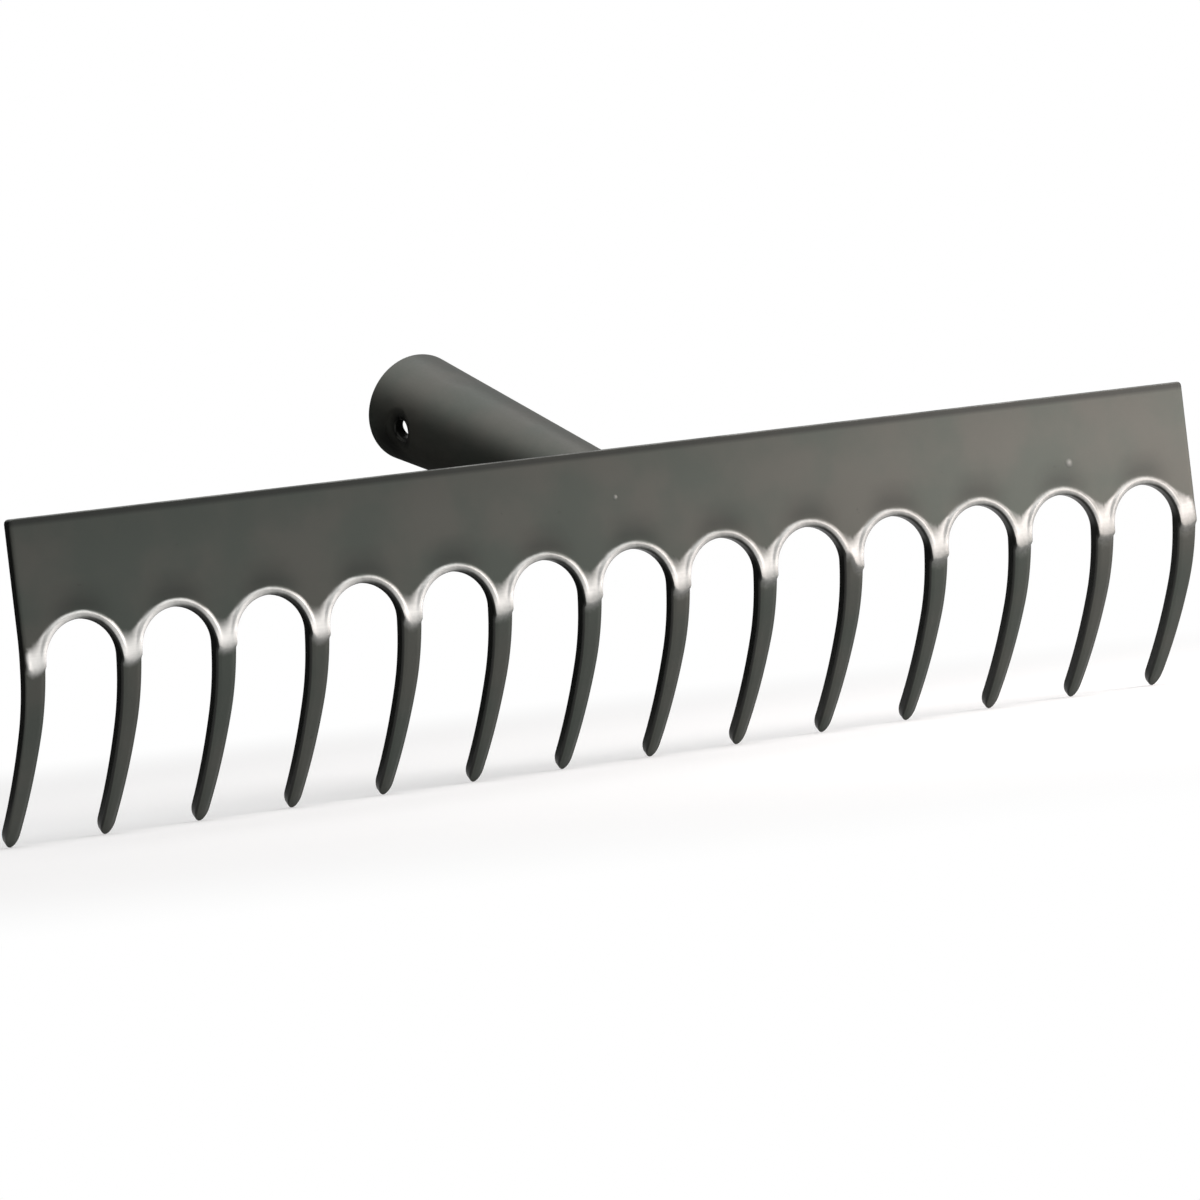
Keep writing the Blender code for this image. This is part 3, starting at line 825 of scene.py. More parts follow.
class Cone:
    """The tapered tube of the socket, in the frame's coordinates."""

    def __init__(self, sizes, thickness):
        self.sizes = sizes
        self.start = Vector((0, plate_middle() + thickness / 2, HEAD_TOP - sizes.depth))
        self.axis = Vector((0, math.cos(sizes.tilt), math.sin(sizes.tilt)))
        self.up = Vector((0, -math.sin(sizes.tilt), math.cos(sizes.tilt)))
        self.taper = (sizes.mouth_radius - sizes.neck_radius) / sizes.length

    def radius(self, along):
        """Outer radius at a distance along the axis."""
        return self.sizes.neck_radius + self.taper * along

    def outward(self, angle):
        """Direction out of the tube at an angle from its top, positive to the left."""
        return self.up * math.cos(angle) - Vector((1, 0, 0)) * math.sin(angle)

    def foot(self, angle, depth):
        """Distance along the axis at which the tube meets the plate at this angle."""
        lean = self.outward(angle).y
        return -(self.sizes.neck_radius - depth) * lean / (self.axis.y + self.taper * lean)

    def dent(self, angle, along):
        """Depth of the shallow oval dent on top of the tube."""
        sizes = self.sizes
        aside = (angle - sizes.dent_angle) * sizes.mouth_radius / DENT_HALF_WIDTH
        ahead = (along - sizes.length + sizes.dent_from_mouth) / DENT_HALF_LENGTH
        reach = aside * aside + ahead * ahead
        return sizes.dent_depth * math.exp(-reach * reach)

    def point(self, angle, along, depth):
        """A point at a depth under the outer surface."""
        reach = self.radius(along) - depth - self.dent(angle, along)
        return self.start + self.axis * along + self.outward(angle) * reach


def push_ring(mesh, edges, middle, radius, depth):
    """Extrude a ring of edges to another radius and depth."""
    made = bmesh.ops.extrude_edge_only(mesh, edges=edges)["geom"]
    verts = [item for item in made if isinstance(item, bmesh.types.BMVert)]
    for vert in verts:
        away = Vector((vert.co.x - middle[0], vert.co.y - middle[1]))
        away.normalize()
        vert.co = (middle[0] + away.x * radius, middle[1] + away.y * radius, depth)
    return [item for item in made if isinstance(item, bmesh.types.BMEdge)]


def push_rings(mesh, edges, middle, rings):
    """Extrude a ring of edges through a list of radii and depths."""
    for radius, depth in rings:
        edges = push_ring(mesh, edges, middle, radius, depth)


def unrolled_skin(mesh, cone, depth, ring_radius):
    """One wall of the tube, unrolled flat, with a round opening for the nail hole."""
    sizes = cone.sizes
    hole_along = sizes.length - sizes.hole_from_mouth
    girth = 2 * math.pi * cone.radius(hole_along)
    cell = (girth / TUBE_AROUND, sizes.length / TUBE_ALONG)
    made = bmesh.ops.create_grid(
        mesh, x_segments=TUBE_AROUND, y_segments=TUBE_ALONG, size=0.5)["verts"]
    for vert in made:
        vert.co = (vert.co.x * girth, (vert.co.y + 0.5) * sizes.length, depth)
    middle = (0.0, round(hole_along / cell[1]) * cell[1])
    reach = [(HOLE_CELLS + HOLE_MARGIN) * size for size in cell]
    faces = {face for vert in made for face in vert.link_faces}
    patch = [face for face in faces if all(
        abs(vert.co[axis] - middle[axis]) < reach[axis] for vert in face.verts for axis in (0, 1))]
    inner = {edge for face in patch for edge in face.edges}
    border = [edge for edge in inner if not all(face in patch for face in edge.link_faces)]
    bmesh.ops.delete(mesh, geom=patch, context="FACES")
    return middle, push_ring(mesh, border, middle, ring_radius, depth)


def close_ends(mesh, sizes):
    """Join the two walls of the unrolled tube at its mouth and at its foot."""
    for along in (0.0, sizes.length):
        rim = [edge for edge in mesh.edges if all(
            abs(vert.co.y - along) < MERGE_DISTANCE and abs(vert.co.z) < MERGE_DISTANCE
            for vert in edge.verts)]
        made = bmesh.ops.extrude_edge_only(mesh, edges=rim)["geom"]
        for vert in made:
            if isinstance(vert, bmesh.types.BMVert):
                vert.co.z = sizes.wall


def dish_depth(sizes, radius):
    """Depth of the dish round the nail hole at a distance from its middle."""
    share = (sizes.hole_dish_radius - radius) / (sizes.hole_dish_radius - sizes.hole_radius)
    return sizes.hole_dish_depth * smooth_step(share)


def hole_shade(sizes, across, along):
    """Painted shade round the nail hole, from 0 to 1, most towards the mouth."""
    ahead = along - sizes.length + sizes.hole_from_mouth
    dish = 1 - smooth_step((math.hypot(across, ahead) - sizes.hole_radius) / HOLE_SHADE_REACH)
    run = math.hypot((across - SHADE_OVAL_ACROSS) / SHADE_OVAL_HALF_WIDTH, (ahead - SHADE_OVAL_AHEAD) / SHADE_OVAL_HALF_LENGTH)
    return max(dish, SHADE_OVAL_STRENGTH * (1 - smooth_step(run)))


def roll_up(mesh, cone, painted_shade):
    """Roll the unrolled tube about its axis, and seat its foot on the plate."""
    sizes = cone.sizes
    hole_girth = cone.radius(sizes.length - sizes.hole_from_mouth)
    for vert in mesh.verts:
        # Painted shade round the nail hole
        vert[painted_shade] = hole_shade(sizes, vert.co.x, vert.co.y)
        angle = sizes.hole_angle + vert.co.x / hole_girth
        depth = vert.co.z
        fade = max(0.0, 1 - vert.co.y / FOOT_SHEAR)
        along = vert.co.y + cone.foot(angle, depth) * fade
        vert.co = cone.point(angle, along, depth)


def make_socket_tube(sizes, thickness, material):
    """The tapered tube, with its punched nail hole and the dent on its top."""
    cone = Cone(sizes, thickness)
    mesh = bmesh.new()
    painted_shade = mesh.verts.layers.float.new("painted_shade")
    dish, hole = sizes.hole_dish_radius, sizes.hole_radius
    collar = hole + sizes.collar_wall
    middle, ring = unrolled_skin(mesh, cone, 0.0, dish)
    rings = [(radius, dish_depth(sizes, radius))
             for radius in even_steps(dish, hole, DISH_RINGS)[1:]]
    depths = even_steps(sizes.hole_dish_depth, sizes.collar_depth, COLLAR_RINGS)
    rings += [(hole, depth) for depth in depths[1:]]
    push_rings(mesh, ring, middle, rings + [(collar, sizes.collar_depth)])
    middle, ring = unrolled_skin(mesh, cone, sizes.wall, dish)
    rings = [(radius, sizes.wall) for radius in even_steps(dish, collar, INNER_RINGS)[1:]]
    depths = even_steps(sizes.wall, sizes.collar_depth, INNER_RINGS)
    rings += [(collar, depth) for depth in depths[1:]]
    push_rings(mesh, ring, middle, rings)
    close_ends(mesh, sizes)
    roll_up(mesh, cone, painted_shade)
    bmesh.ops.remove_doubles(mesh, verts=mesh.verts, dist=MERGE_DISTANCE)
    bmesh.ops.recalc_face_normals(mesh, faces=mesh.faces)
    round_rims(mesh, sizes.rim_rounding)
    piece = new_piece("socket_tube", mesh, "root", material)
    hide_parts("handle_socket")


# A weld bead: the angles from the tube's top at which it starts and ends, how many ripples it
# has, how soon its ends narrow, how far its width wanders, how far its face is hollowed, how
# far its hidden side sinks into the corner, and the share of its section that is its face
WELD_LOW = math.radians(150)
WELD_HIGH = math.radians(8)
WELD_RIPPLES = 19
WELD_NARROWING = 1.6
WELD_WANDER = 0.12
WELD_NOISE_SCALE = 9
WELD_SIDE_SHIFT = 3
WELD_HOLLOW = 0.22
WELD_SINK = 0.12 * MM
WELD_FACE = 0.75


def weld_surface(cone, side, along, around):
    """A point on a fillet weld: along the foot of the tube, and around its own section."""
    sizes = cone.sizes
    angle = side * (WELD_LOW + (WELD_HIGH - WELD_LOW) * along)
    taper = min(1.0, WELD_NARROWING * math.sqrt(max(0.0, math.sin(math.pi * along))))
    ripple = math.sin(2 * math.pi * WELD_RIPPLES * along)
    wander = noise.noise(Vector((along * WELD_NOISE_SCALE, side * WELD_SIDE_SHIFT, 0)))
    width = taper * (sizes.weld_width * (1 + WELD_WANDER * wander))
    bulge = taper * sizes.weld_ripple * (0.5 + 0.5 * ripple)
    foot = cone.foot(angle, 0.0)
    corner = cone.point(angle, foot, 0.0)
    outward = cone.outward(angle)
    outward.y = 0
    outward.normalize()
    tube_way = (cone.point(angle, foot + 1 * MM, 0.0) - corner).normalized()
    if around < WELD_FACE:
        swing = around / WELD_FACE * math.pi / 2
        swell = math.sin(2 * swing)
        reach = width * (1 - WELD_HOLLOW * swell) + bulge * swell
        return corner + outward * reach * math.cos(swing) + tube_way * reach * math.sin(swing)
    share = (around - WELD_FACE) / (1 - WELD_FACE)
    sink = -WELD_SINK * taper * math.sin(math.pi * share)
    return (corner + tube_way * width * (1 - share) ** 2 + outward * width * share ** 2
            + (outward + tube_way) * sink)


def make_weld_bead(name, node, side, sizes, thickness, material):
    """One rippled weld bead between the tube and the plate."""
    cone = Cone(sizes, thickness)
    mesh = bmesh.new()
    bmesh.ops.create_grid(mesh, x_segments=WELD_ALONG, y_segments=WELD_AROUND, size=0.5)
    for vert in mesh.verts:
        vert.co = weld_surface(cone, side, vert.co.x + 0.5, vert.co.y + 0.5)
    bmesh.ops.remove_doubles(mesh, verts=mesh.verts, dist=MERGE_DISTANCE)
    bmesh.ops.recalc_face_normals(mesh, faces=mesh.faces)
    piece = new_piece(name, mesh, "root", material)
    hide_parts(node)


class Socket:
    """A shader value. Arithmetic on it adds Math nodes to its tree."""

    def __init__(self, shader, link):
        self.shader = shader
        self.link = link

    def combine(self, operation, first, second):
        """Add one Math node."""
        return self.shader.node("ShaderNodeMath", {"operation": operation}, {0: first, 1: second})

    def __add__(self, other):
        return self.combine("ADD", self, other)

    def __radd__(self, other):
        return self.combine("ADD", other, self)

    def __sub__(self, other):
        return self.combine("SUBTRACT", self, other)

    def __rsub__(self, other):
        return self.combine("SUBTRACT", other, self)

    def __mul__(self, other):
        return self.combine("MULTIPLY", self, other)

    def __rmul__(self, other):
        return self.combine("MULTIPLY", other, self)


class Shader:
    """Adds nodes to one node tree and links them."""

    def __init__(self, tree):
        self.tree = tree
        tree.nodes.clear()

    def node(self, kind, settings, sockets, output=0):
        """Add a node: its settings first, then the values or links of its sockets."""
        made = self.tree.nodes.new(kind)
        for name, value in settings.items():
            setattr(made, name, value)
        for name, value in sockets.items():
            if isinstance(value, Socket):
                self.tree.links.new(value.link, made.inputs[name])
            else:
                made.inputs[name].default_value = value
        return Socket(self, made.outputs[output])

    def place(self):
        """Object coordinates."""
        return self.node("ShaderNodeTexCoord", {}, {}, "Object")

    def mark(self, name):
        """A value from 0 to 1 that was marked on the points of the mesh."""
        return self.node("ShaderNodeAttribute", {"attribute_name": name}, {}, "Fac")

    def mapped(self, place, scale, rotation=(0, 0, 0)):
        """Coordinates that are turned and stretched."""
        return self.node(
            "ShaderNodeMapping", {}, {"Vector": place, "Rotation": rotation, "Scale": scale})

    def clouds(self, place, scale, detail):
        """Soft noise from 0 to 1."""
        return self.node(
            "ShaderNodeTexNoise", {}, {"Vector": place, "Scale": scale, "Detail": detail})

    def ramp(self, value, low, high, to_low=0.0, to_high=1.0):
        """Ease from one value to another as the input runs from low to high."""
        return self.node(
            "ShaderNodeMapRange", {"interpolation_type": "SMOOTHSTEP"},
            {"Value": value, "From Min": low, "From Max": high, "To Min": to_low,
             "To Max": to_high})

    def spot(self, place, middle, size):
        """1 at a point, easing to 0 at a distance from it."""
        reach = self.node(
            "ShaderNodeVectorMath", {"operation": "DISTANCE"}, {0: place, 1: middle}, "Value")
        return self.ramp(reach, 0.0, size, 1.0, 0.0)

    def mix(self, share, first, second):
        """Blend two colours."""
        return self.node(
            "ShaderNodeMix", {"data_type": "RGBA"}, {0: share, 6: first, 7: second}, 2)

    def bump(self, height, strength, distance):
        """Bend the surface's normal by a height in metres."""
        return self.node(
            "ShaderNodeBump", {},
            {"Height": height, "Strength": strength, "Distance": distance})

    def finish(self, surface, kind="ShaderNodeOutputMaterial"):
        """Link the finished surface to the tree's output."""
        end = self.tree.nodes.new(kind)
        self.tree.links.new(surface.link, end.inputs["Surface"])

    def metal(self, constants, linked):
        """Finish the tree with one Principled shader."""
        self.finish(self.node("ShaderNodeBsdfPrincipled", {}, {**constants, **linked}))


def new_material(name):
    """An empty node material and the shader that fills it."""
    material = bpy.data.materials.new(name)
    material.use_nodes = True
    return material, Shader(material.node_tree)


def shaded(colour, factor, tint=(1, 1, 1)):
    """A colour made lighter or darker and pushed towards a tint, with full alpha."""
    return (*[channel * share * factor for channel, share in zip(colour, tint)], 1.0)


def grey(level):
    """A neutral colour with full alpha."""
    return (level, level, level, 1.0)


# Tints of the lacquer's cloudy patches, and the part of the noise over which they blend
WARM = (1.04, 0.99, 0.955)
GREEN = (0.95, 1.02, 0.97)
CLOUD_BLEND = (0.35, 0.65)

# How much each mark changes the head's colour, and how dark it makes the lacquer: specks, then
# painted shade on the plate's upper band, in hollows and under the top edge, and on walls and rims
SPECK_SHARE, SPECK_TONE = 0.35, 0.55
TOP_BAND_SHADE_SHARE, TOP_BAND_SHADE_TONE = 0.14, 0.3
PAINTED_SHADE_SHARE, PAINTED_SHADE_TONE = 0.8, 0.3
EDGE_SHADE_SHARE, EDGE_SHADE_TONE = 0.9, 0.2
TOP_BAND = 16.0 * MM

# Small blisters in the lacquer on the plate's front: where they are and how far they reach,
# how much painted highlight lightens them, and how high they stand in its relief
BLISTERS = (
    ((0.1491, -0.0569, 0.0677), 1.5 * MM),
    ((-0.0039, -0.0569, 0.0737), 0.9 * MM),
)
BLISTER_HIGHLIGHT_SHARE = 0.3
BLISTER_RISE = 8.0

# The lacquer's flakes make it look like metal. The finer its relief, the smaller the bump
LACQUER_IOR = 1.5
LACQUER_METALLIC = 0.8
WELD_METALLIC = 0.5
HEAD_ROUGHNESS = 0.40
SOCKET_ROUGHNESS = 0.42
WELD_ROUGHNESS = 0.45
HEAD_BUMP = 0.04 * MM
SOCKET_BUMP = 0.05 * MM
WELD_BUMP = 0.12 * MM


def varied(middle, pattern, spread):
    """A value that a pattern from 0 to 1 moves up and down about its middle."""
    return middle + (pattern - 0.5) * spread


def cloudy(shader, patches, colour, dark, light):
    """A lacquer's colour, greener and darker in some patches, warmer and lighter in others."""
    share = shader.ramp(patches, *CLOUD_BLEND)
    return shader.mix(share, shaded(colour, dark, GREEN), shaded(colour, light, WARM))


def marked_lacquer(shader, colours, place, patches, blisters):
    """The head's lacquer with its patches, specks, shades and blisters."""
    specks = shader.ramp(shader.clouds(place, scale=260.0, detail=2.0), low=0.74, high=0.80)
    height = shader.node("ShaderNodeSeparateXYZ", {}, {"Vector": place}, "Z")
    # Painted shade, darker towards the plate's top edge
    near_top = shader.ramp(height, HEAD_TOP - TOP_BAND, HEAD_TOP)
    lacquer = cloudy(shader, patches, colours.head, dark=0.93, light=1.07)
    for share, tone in (
            (specks * SPECK_SHARE, SPECK_TONE),
            (near_top * TOP_BAND_SHADE_SHARE, TOP_BAND_SHADE_TONE),
            (shader.mark("painted_shade") * PAINTED_SHADE_SHARE, PAINTED_SHADE_TONE),
            (shader.mark("edge_shade") * EDGE_SHADE_SHARE, EDGE_SHADE_TONE)):
        lacquer = shader.mix(share, lacquer, shaded(colours.head, tone))
    # Painted highlight on the blisters
    return shader.mix(blisters * BLISTER_HIGHLIGHT_SHARE, lacquer, shaded(colours.steel, 0.5))


def head_lacquer(colours):
    """Dark lacquer with faint cloudy patches, and bright steel on lips and roots as painted highlight
    and wear.
    """
    material, shader = new_material("head_lacquer")
    place = shader.place()
    patches = shader.clouds(place, scale=42.0, detail=3.0)
    grain = shader.clouds(place, scale=900.0, detail=4.0)
    strokes = shader.clouds(shader.mapped(place, (1.0, 1.0, 14.0)), scale=120.0, detail=3.0)
    # Painted highlight and wear: bright steel is painted where the lips, roots and top edge catch the
    # light
    highlight_and_bare = shader.ramp(varied(shader.mark("wear_and_highlight"), grain, 0.16), low=0.02, high=1.0)
    first, second = [shader.spot(place, middle, size) for middle, size in BLISTERS]
    blisters = first + second
    lacquer = marked_lacquer(shader, colours, place, patches, blisters)
    steel = shader.mix(strokes, shaded(colours.steel, 0.86), shaded(colours.steel, 1.08))
    roughness = varied(varied(HEAD_ROUGHNESS, grain, 0.10), patches, 0.08)
    relief = grain * 0.5 + patches + strokes * highlight_and_bare * 0.6 + blisters * BLISTER_RISE
    shader.metal({"IOR": LACQUER_IOR, "Coat Roughness": 0.25}, {
        "Base Color": shader.mix(highlight_and_bare, lacquer, steel),
        "Metallic": LACQUER_METALLIC + highlight_and_bare * 0.18,
        "Roughness": roughness + highlight_and_bare * 0.08 + strokes * highlight_and_bare * 0.06,
        "Coat Weight": 0.1 - highlight_and_bare * 0.08,
        "Normal": shader.bump(relief, strength=0.35, distance=HEAD_BUMP),
    })
    return material


def socket_lacquer(colours, tilt):
    """Dark lacquer with faint lines along the tube."""
    material, shader = new_material("socket_lacquer")
    place = shader.place()
    along = shader.mapped(place, (1.0, 0.06, 1.0), (-tilt, 0, 0))
    lines = shader.clouds(along, scale=300.0, detail=3.0)
    patches = shader.clouds(place, scale=48.0, detail=3.0)
    grain = shader.clouds(place, scale=1000.0, detail=3.0)
    colour = cloudy(shader, patches, colours.socket, dark=0.92, light=1.06)
    streaks = shader.ramp(lines, low=0.55, high=0.8)
    colour = shader.mix(streaks * 0.3, colour, shaded(colours.socket, 1.3))
    # Painted shade round the nail hole and below it
    colour = shader.mix(shader.mark("painted_shade") * 0.9, colour, shaded(colours.socket, 0.2))
    relief = lines * 0.8 + grain * 0.4 + patches
    shader.metal({"IOR": LACQUER_IOR, "Coat Roughness": 0.3, "Coat Weight": 0.12}, {
        "Base Color": colour,
        "Metallic": varied(LACQUER_METALLIC, patches, 0.1),
        "Roughness": varied(varied(SOCKET_ROUGHNESS, grain, 0.12), lines, 0.10),
        "Normal": shader.bump(relief, strength=0.35, distance=SOCKET_BUMP),
    })
    return material


def weld_lacquer(colours):
    """Darker lacquer over rough weld metal, with a few bright spatters."""
    material, shader = new_material("weld_lacquer")
    place = shader.place()
    lumps = shader.clouds(place, scale=420.0, detail=4.0)
    spatter = shader.ramp(shader.clouds(place, scale=700.0, detail=2.0), low=0.68, high=0.76)
    colour = shader.mix(lumps, shaded(colours.weld, 0.8), shaded(colours.weld, 1.3))
    shader.metal({"IOR": LACQUER_IOR}, {
        "Base Color": shader.mix(spatter * 0.4, colour, shaded(colours.steel, 0.5)),
        "Metallic": WELD_METALLIC + spatter * 0.3,
        "Roughness": varied(WELD_ROUGHNESS, lumps, 0.2),
        "Normal": shader.bump(lumps, strength=0.6, distance=WELD_BUMP),
    })
    return material


# The floor: its radius and its sides, how far its paint varies, how much light the paint gives
# out near the head, and the distances from the head between which it turns to plain white
FLOOR_RADIUS = 3.0
FLOOR_SIDES = 96
FLOOR_MOTTLE = 0.01
FLOOR_LIFT = 0.22
FLOOR_WHITE_START = 0.30
FLOOR_WHITE_END = 0.62


def floor_paint(colours):
    """Pale paint that keeps the shadow near the head and turns to plain white further out."""
    material, shader = new_material("floor_paint")
    place = shader.place()
    grain = shader.clouds(place, scale=30.0, detail=2.0)
    tone = shader.mix(
        grain, shaded(colours.floor, 1 - FLOOR_MOTTLE), shaded(colours.floor, 1 + FLOOR_MOTTLE))
    paint = shader.node("ShaderNodeBsdfDiffuse", {}, {"Color": tone})
    lift = shader.node("ShaderNodeEmission", {}, {"Color": grey(1.0), "Strength": FLOOR_LIFT})
    near = shader.node("ShaderNodeAddShader", {}, {0: paint, 1: lift})
    white = shader.node("ShaderNodeEmission", {}, {"Color": grey(1.0), "Strength": 1.0})
    distance = shader.node(
        "ShaderNodeVectorMath", {"operation": "LENGTH"}, {0: place}, "Value")
    far = shader.ramp(distance, FLOOR_WHITE_START, FLOOR_WHITE_END)
    shader.finish(shader.node("ShaderNodeMixShader", {}, {0: far, 1: near, 2: white}))
    return material


def make_floor(colours):
    """A round pale floor under the tines."""
    mesh = bmesh.new()
    bmesh.ops.create_circle(mesh, cap_ends=True, segments=FLOOR_SIDES, radius=FLOOR_RADIUS)
    new_object("floor", mesh, floor_paint(colours))


# The studio cards: their radius about the head, the height of their lower edge over the floor,
# how finely they are curved, and the heights between which they change their brightness
CARD_RADIUS = 0.9
CARD_FLOOR = 0.002
CARD_STEPS = 24
CARD_SHADE_START = 0.20
CARD_SHADE_END = 0.75


def reflection_card_glow(name, glow, top_glow):
    """A glowing studio card, a painted reflection: as bright as its reflection should look."""
    material, shader = new_material(name)
    height = shader.node("ShaderNodeSeparateXYZ", {}, {"Vector": shader.place()}, "Z")
    share = shader.ramp(height, CARD_SHADE_START, CARD_SHADE_END)
    tone = shader.mix(share, grey(glow), grey(top_glow))
    shader.finish(shader.node("ShaderNodeEmission", {}, {"Color": tone, "Strength": 1.0}))
    return material


def make_card(name, start, end, low, high, inner, glow, top_glow):
    """A curved card that only reflections see, between two angles round the head.

    It stands on its outer radius from low to high, and reaches inwards along the floor.
    """
    mesh = bmesh.new()
    bmesh.ops.create_grid(mesh, x_segments=CARD_STEPS, y_segments=2, size=0.5)
    for vert in mesh.verts:
        turn = math.radians(start + (end - start) * (vert.co.x + 0.5))
        row = round(2 * (vert.co.y + 0.5))
        reach = inner if row == 0 else CARD_RADIUS
        height = high if row == 2 else low
        vert.co = (reach * math.sin(turn), -reach * math.cos(turn), height)
    card = new_object(name, mesh, reflection_card_glow(name, glow, top_glow))
    card.visible_camera = False
    card.visible_diffuse = False
    card.visible_shadow = False


# Height of the point that the lamps face, and the tint of the lamp at the side
LAMP_AIM = 0.06
SIDE_TINT = (1.0, 0.89, 0.86)


def softbox(name, azimuth, elevation, distance, size, radiance, tint=(1, 1, 1)):
    """A rectangular lamp that faces the head, with the brightness of its face given."""
    lamp = bpy.data.lights.new(name, "AREA")
    lamp.shape = "RECTANGLE"
    lamp.size, lamp.size_y = size
    lamp.energy = radiance * math.pi * size[0] * size[1]
    lamp.color = tint
    turn, rise = math.radians(azimuth), math.radians(elevation)
    away = Vector((
        math.sin(turn) * math.cos(rise), -math.cos(turn) * math.cos(rise), math.sin(rise)))
    holder = bpy.data.objects.new(name, lamp)
    holder.location = away * distance + Vector((0, 0, LAMP_AIM))
    holder.rotation_mode = "QUATERNION"
    holder.rotation_quaternion = away.to_track_quat("Z", "Y")
    bpy.context.scene.collection.objects.link(holder)


# Strength of the world where neither the camera nor a reflection looks at it
WORLD_FILL = 0.45


def light_world():
    """White to the camera and in reflections, and softer as a fill."""
    world = bpy.data.worlds.new("studio_world")
    bpy.context.scene.world = world
    world.use_nodes = True
    shader = Shader(world.node_tree)
    camera, glossy, transmission = [
        shader.node("ShaderNodeLightPath", {}, {}, ray)
        for ray in ("Is Camera Ray", "Is Glossy Ray", "Is Transmission Ray")]
    strength = shader.ramp(camera + glossy + transmission, 0.0, 1.0, WORLD_FILL, 1.0)
    back = shader.node("ShaderNodeBackground", {}, {"Color": grey(1.0), "Strength": strength})
    shader.finish(back, "ShaderNodeOutputWorld")


# The photograph's camera: its place in metres, its turn in degrees, its lens and its sensor's
# width in millimetres, and the nearest and furthest that it sees
CAMERA_PLACE = (-1.15091, -1.91927, 0.08751)
CAMERA_TURN = (88.9039, 6.7183, -31.5607)
CAMERA_LENS = 237.346
SENSOR_WIDTH = 36.0
NEAREST = 0.05
FURTHEST = 50.0


def place_camera():
    """The photograph's viewpoint."""
    view = bpy.data.cameras.new("photo_camera")
    view.lens = CAMERA_LENS
    view.sensor_width = SENSOR_WIDTH
    view.clip_start = NEAREST
    view.clip_end = FURTHEST
    camera = bpy.data.objects.new("photo_camera", view)
    camera.location = CAMERA_PLACE
    camera.rotation_euler = [math.radians(turn) for turn in CAMERA_TURN]
    bpy.context.scene.collection.objects.link(camera)
    bpy.context.scene.camera = camera


class RAKE_OT_studio(Operator):
    """Set up the floor, the soft light and the camera"""

    bl_idname = "rake_head.studio"
    bl_label = "Studio"

    def execute(self, context):
        make_floor(context.scene.rake_colours)
        # Cards that only reflections see: painted reflections, dark to the left and front, grey to
        # the right and back
        make_card(
            "dark_wall", start=-185, end=5, low=CARD_FLOOR, high=0.75, inner=CARD_RADIUS,
            glow=0.01, top_glow=0.5)
        make_card(
            "dark_floor", start=-205, end=-95, low=CARD_FLOOR, high=CARD_FLOOR, inner=0.02,
            glow=0.02, top_glow=0.02)
        make_card(
            "grey_wall", start=75, end=175, low=CARD_FLOOR, high=0.9, inner=CARD_RADIUS,
            glow=0.3, top_glow=0.5)
        softbox(
            "upper_softbox", azimuth=40, elevation=50, distance=1.2, size=(1.3, 0.8),
            radiance=2.2)
        softbox(
            "side_softbox", azimuth=52, elevation=12, distance=0.6, size=(0.35, 0.5),
            radiance=4.3, tint=SIDE_TINT)
        softbox(
            "back_softbox", azimuth=175, elevation=62, distance=1.1, size=(1.0, 0.7),
            radiance=0.65)
        light_world()
        place_camera()
        context.scene.view_settings.view_transform = "Standard"
        return {"FINISHED"}


class RAKE_OT_plate_and_tines(Operator):
    """Model the stamped plate with its arches and curved tines"""

    bl_idname = "rake_head.plate_and_tines"
    bl_label = "Plate and tines"

    def execute(self, context):
        scene = context.scene
        make_plate_and_tines(scene.rake_head_sizes, head_lacquer(scene.rake_colours))
        return {"FINISHED"}


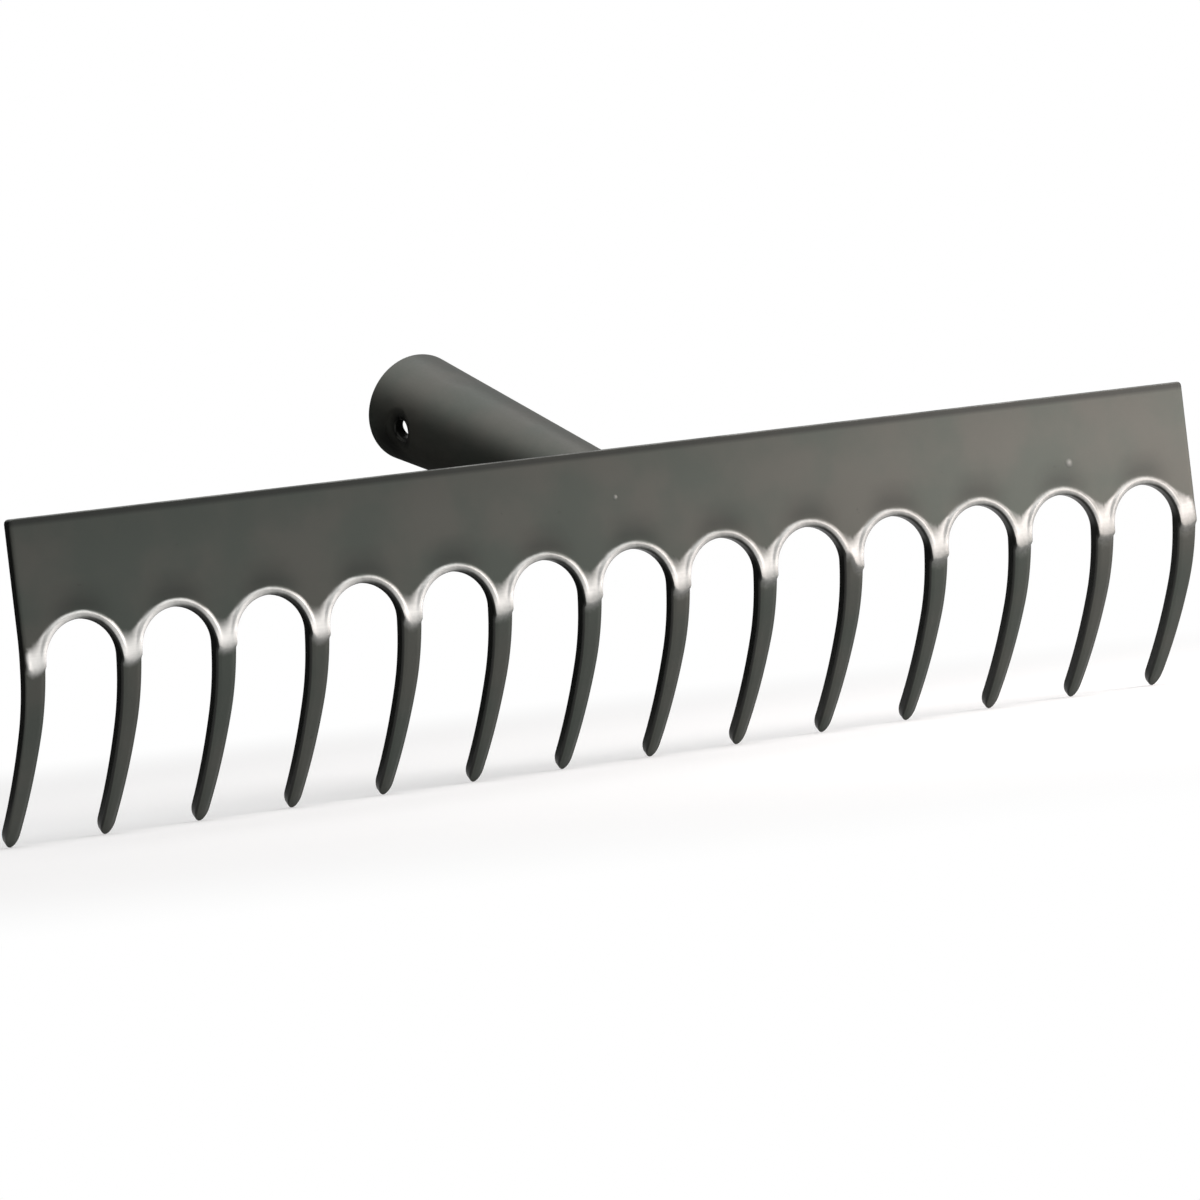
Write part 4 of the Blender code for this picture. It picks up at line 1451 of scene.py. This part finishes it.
class RAKE_OT_socket_tube(Operator):
    """Model the tapered socket with its nail hole"""

    bl_idname = "rake_head.socket_tube"
    bl_label = "Handle socket"

    def execute(self, context):
        scene = context.scene
        sizes = scene.rake_socket_sizes
        material = socket_lacquer(scene.rake_colours, sizes.tilt)
        make_socket_tube(sizes, scene.rake_head_sizes.thickness, material)
        return {"FINISHED"}


class RAKE_OT_weld_beads(Operator):
    """Model the two weld beads at the foot of the socket"""

    bl_idname = "rake_head.weld_beads"
    bl_label = "Weld beads"

    def execute(self, context):
        scene = context.scene
        material = weld_lacquer(scene.rake_colours)
        for name, node, side in (("weld_ripple_left", "weld_bead_left", 1),
                                 ("weld_ripple_right", "weld_bead_right", -1)):
            make_weld_bead(
                name, node, side, scene.rake_socket_sizes, scene.rake_head_sizes.thickness,
                material)
        return {"FINISHED"}


class RAKE_PT_panel(Panel):
    """Buttons and sizes of the rake head"""

    bl_label = "Rake Head"
    bl_idname = "RAKE_PT_panel"
    bl_space_type = "VIEW_3D"
    bl_region_type = "UI"
    bl_category = "Rake Head"

    def draw(self, context):
        scene = context.scene
        for operator in OPERATORS:
            self.layout.operator(operator.bl_idname)
        for group in (scene.rake_head_sizes, scene.rake_socket_sizes, scene.rake_colours):
            box = self.layout.box()
            for name in group.bl_rna.properties.keys():
                if name not in ("rna_type", "name"):
                    box.prop(group, name)


OPERATORS = (RAKE_OT_studio, RAKE_OT_plate_and_tines, RAKE_OT_socket_tube, RAKE_OT_weld_beads)
CLASSES = (HeadSizes, SocketSizes, FinishColours) + OPERATORS + (RAKE_PT_panel,)


def register():
    for item in CLASSES:
        bpy.utils.register_class(item)
    bpy.types.Scene.rake_head_sizes = PointerProperty(type=HeadSizes)
    bpy.types.Scene.rake_socket_sizes = PointerProperty(type=SocketSizes)
    bpy.types.Scene.rake_colours = PointerProperty(type=FinishColours)


def unregister():
    del bpy.types.Scene.rake_colours
    del bpy.types.Scene.rake_socket_sizes
    del bpy.types.Scene.rake_head_sizes
    for item in reversed(CLASSES):
        bpy.utils.unregister_class(item)


def main():
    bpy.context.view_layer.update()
    register()
    bpy.ops.rake_head.studio()
    bpy.ops.rake_head.plate_and_tines()
    bpy.ops.rake_head.socket_tube()
    bpy.ops.rake_head.weld_beads()
    bpy.context.view_layer.update()


if __name__ == "__main__":
    main()
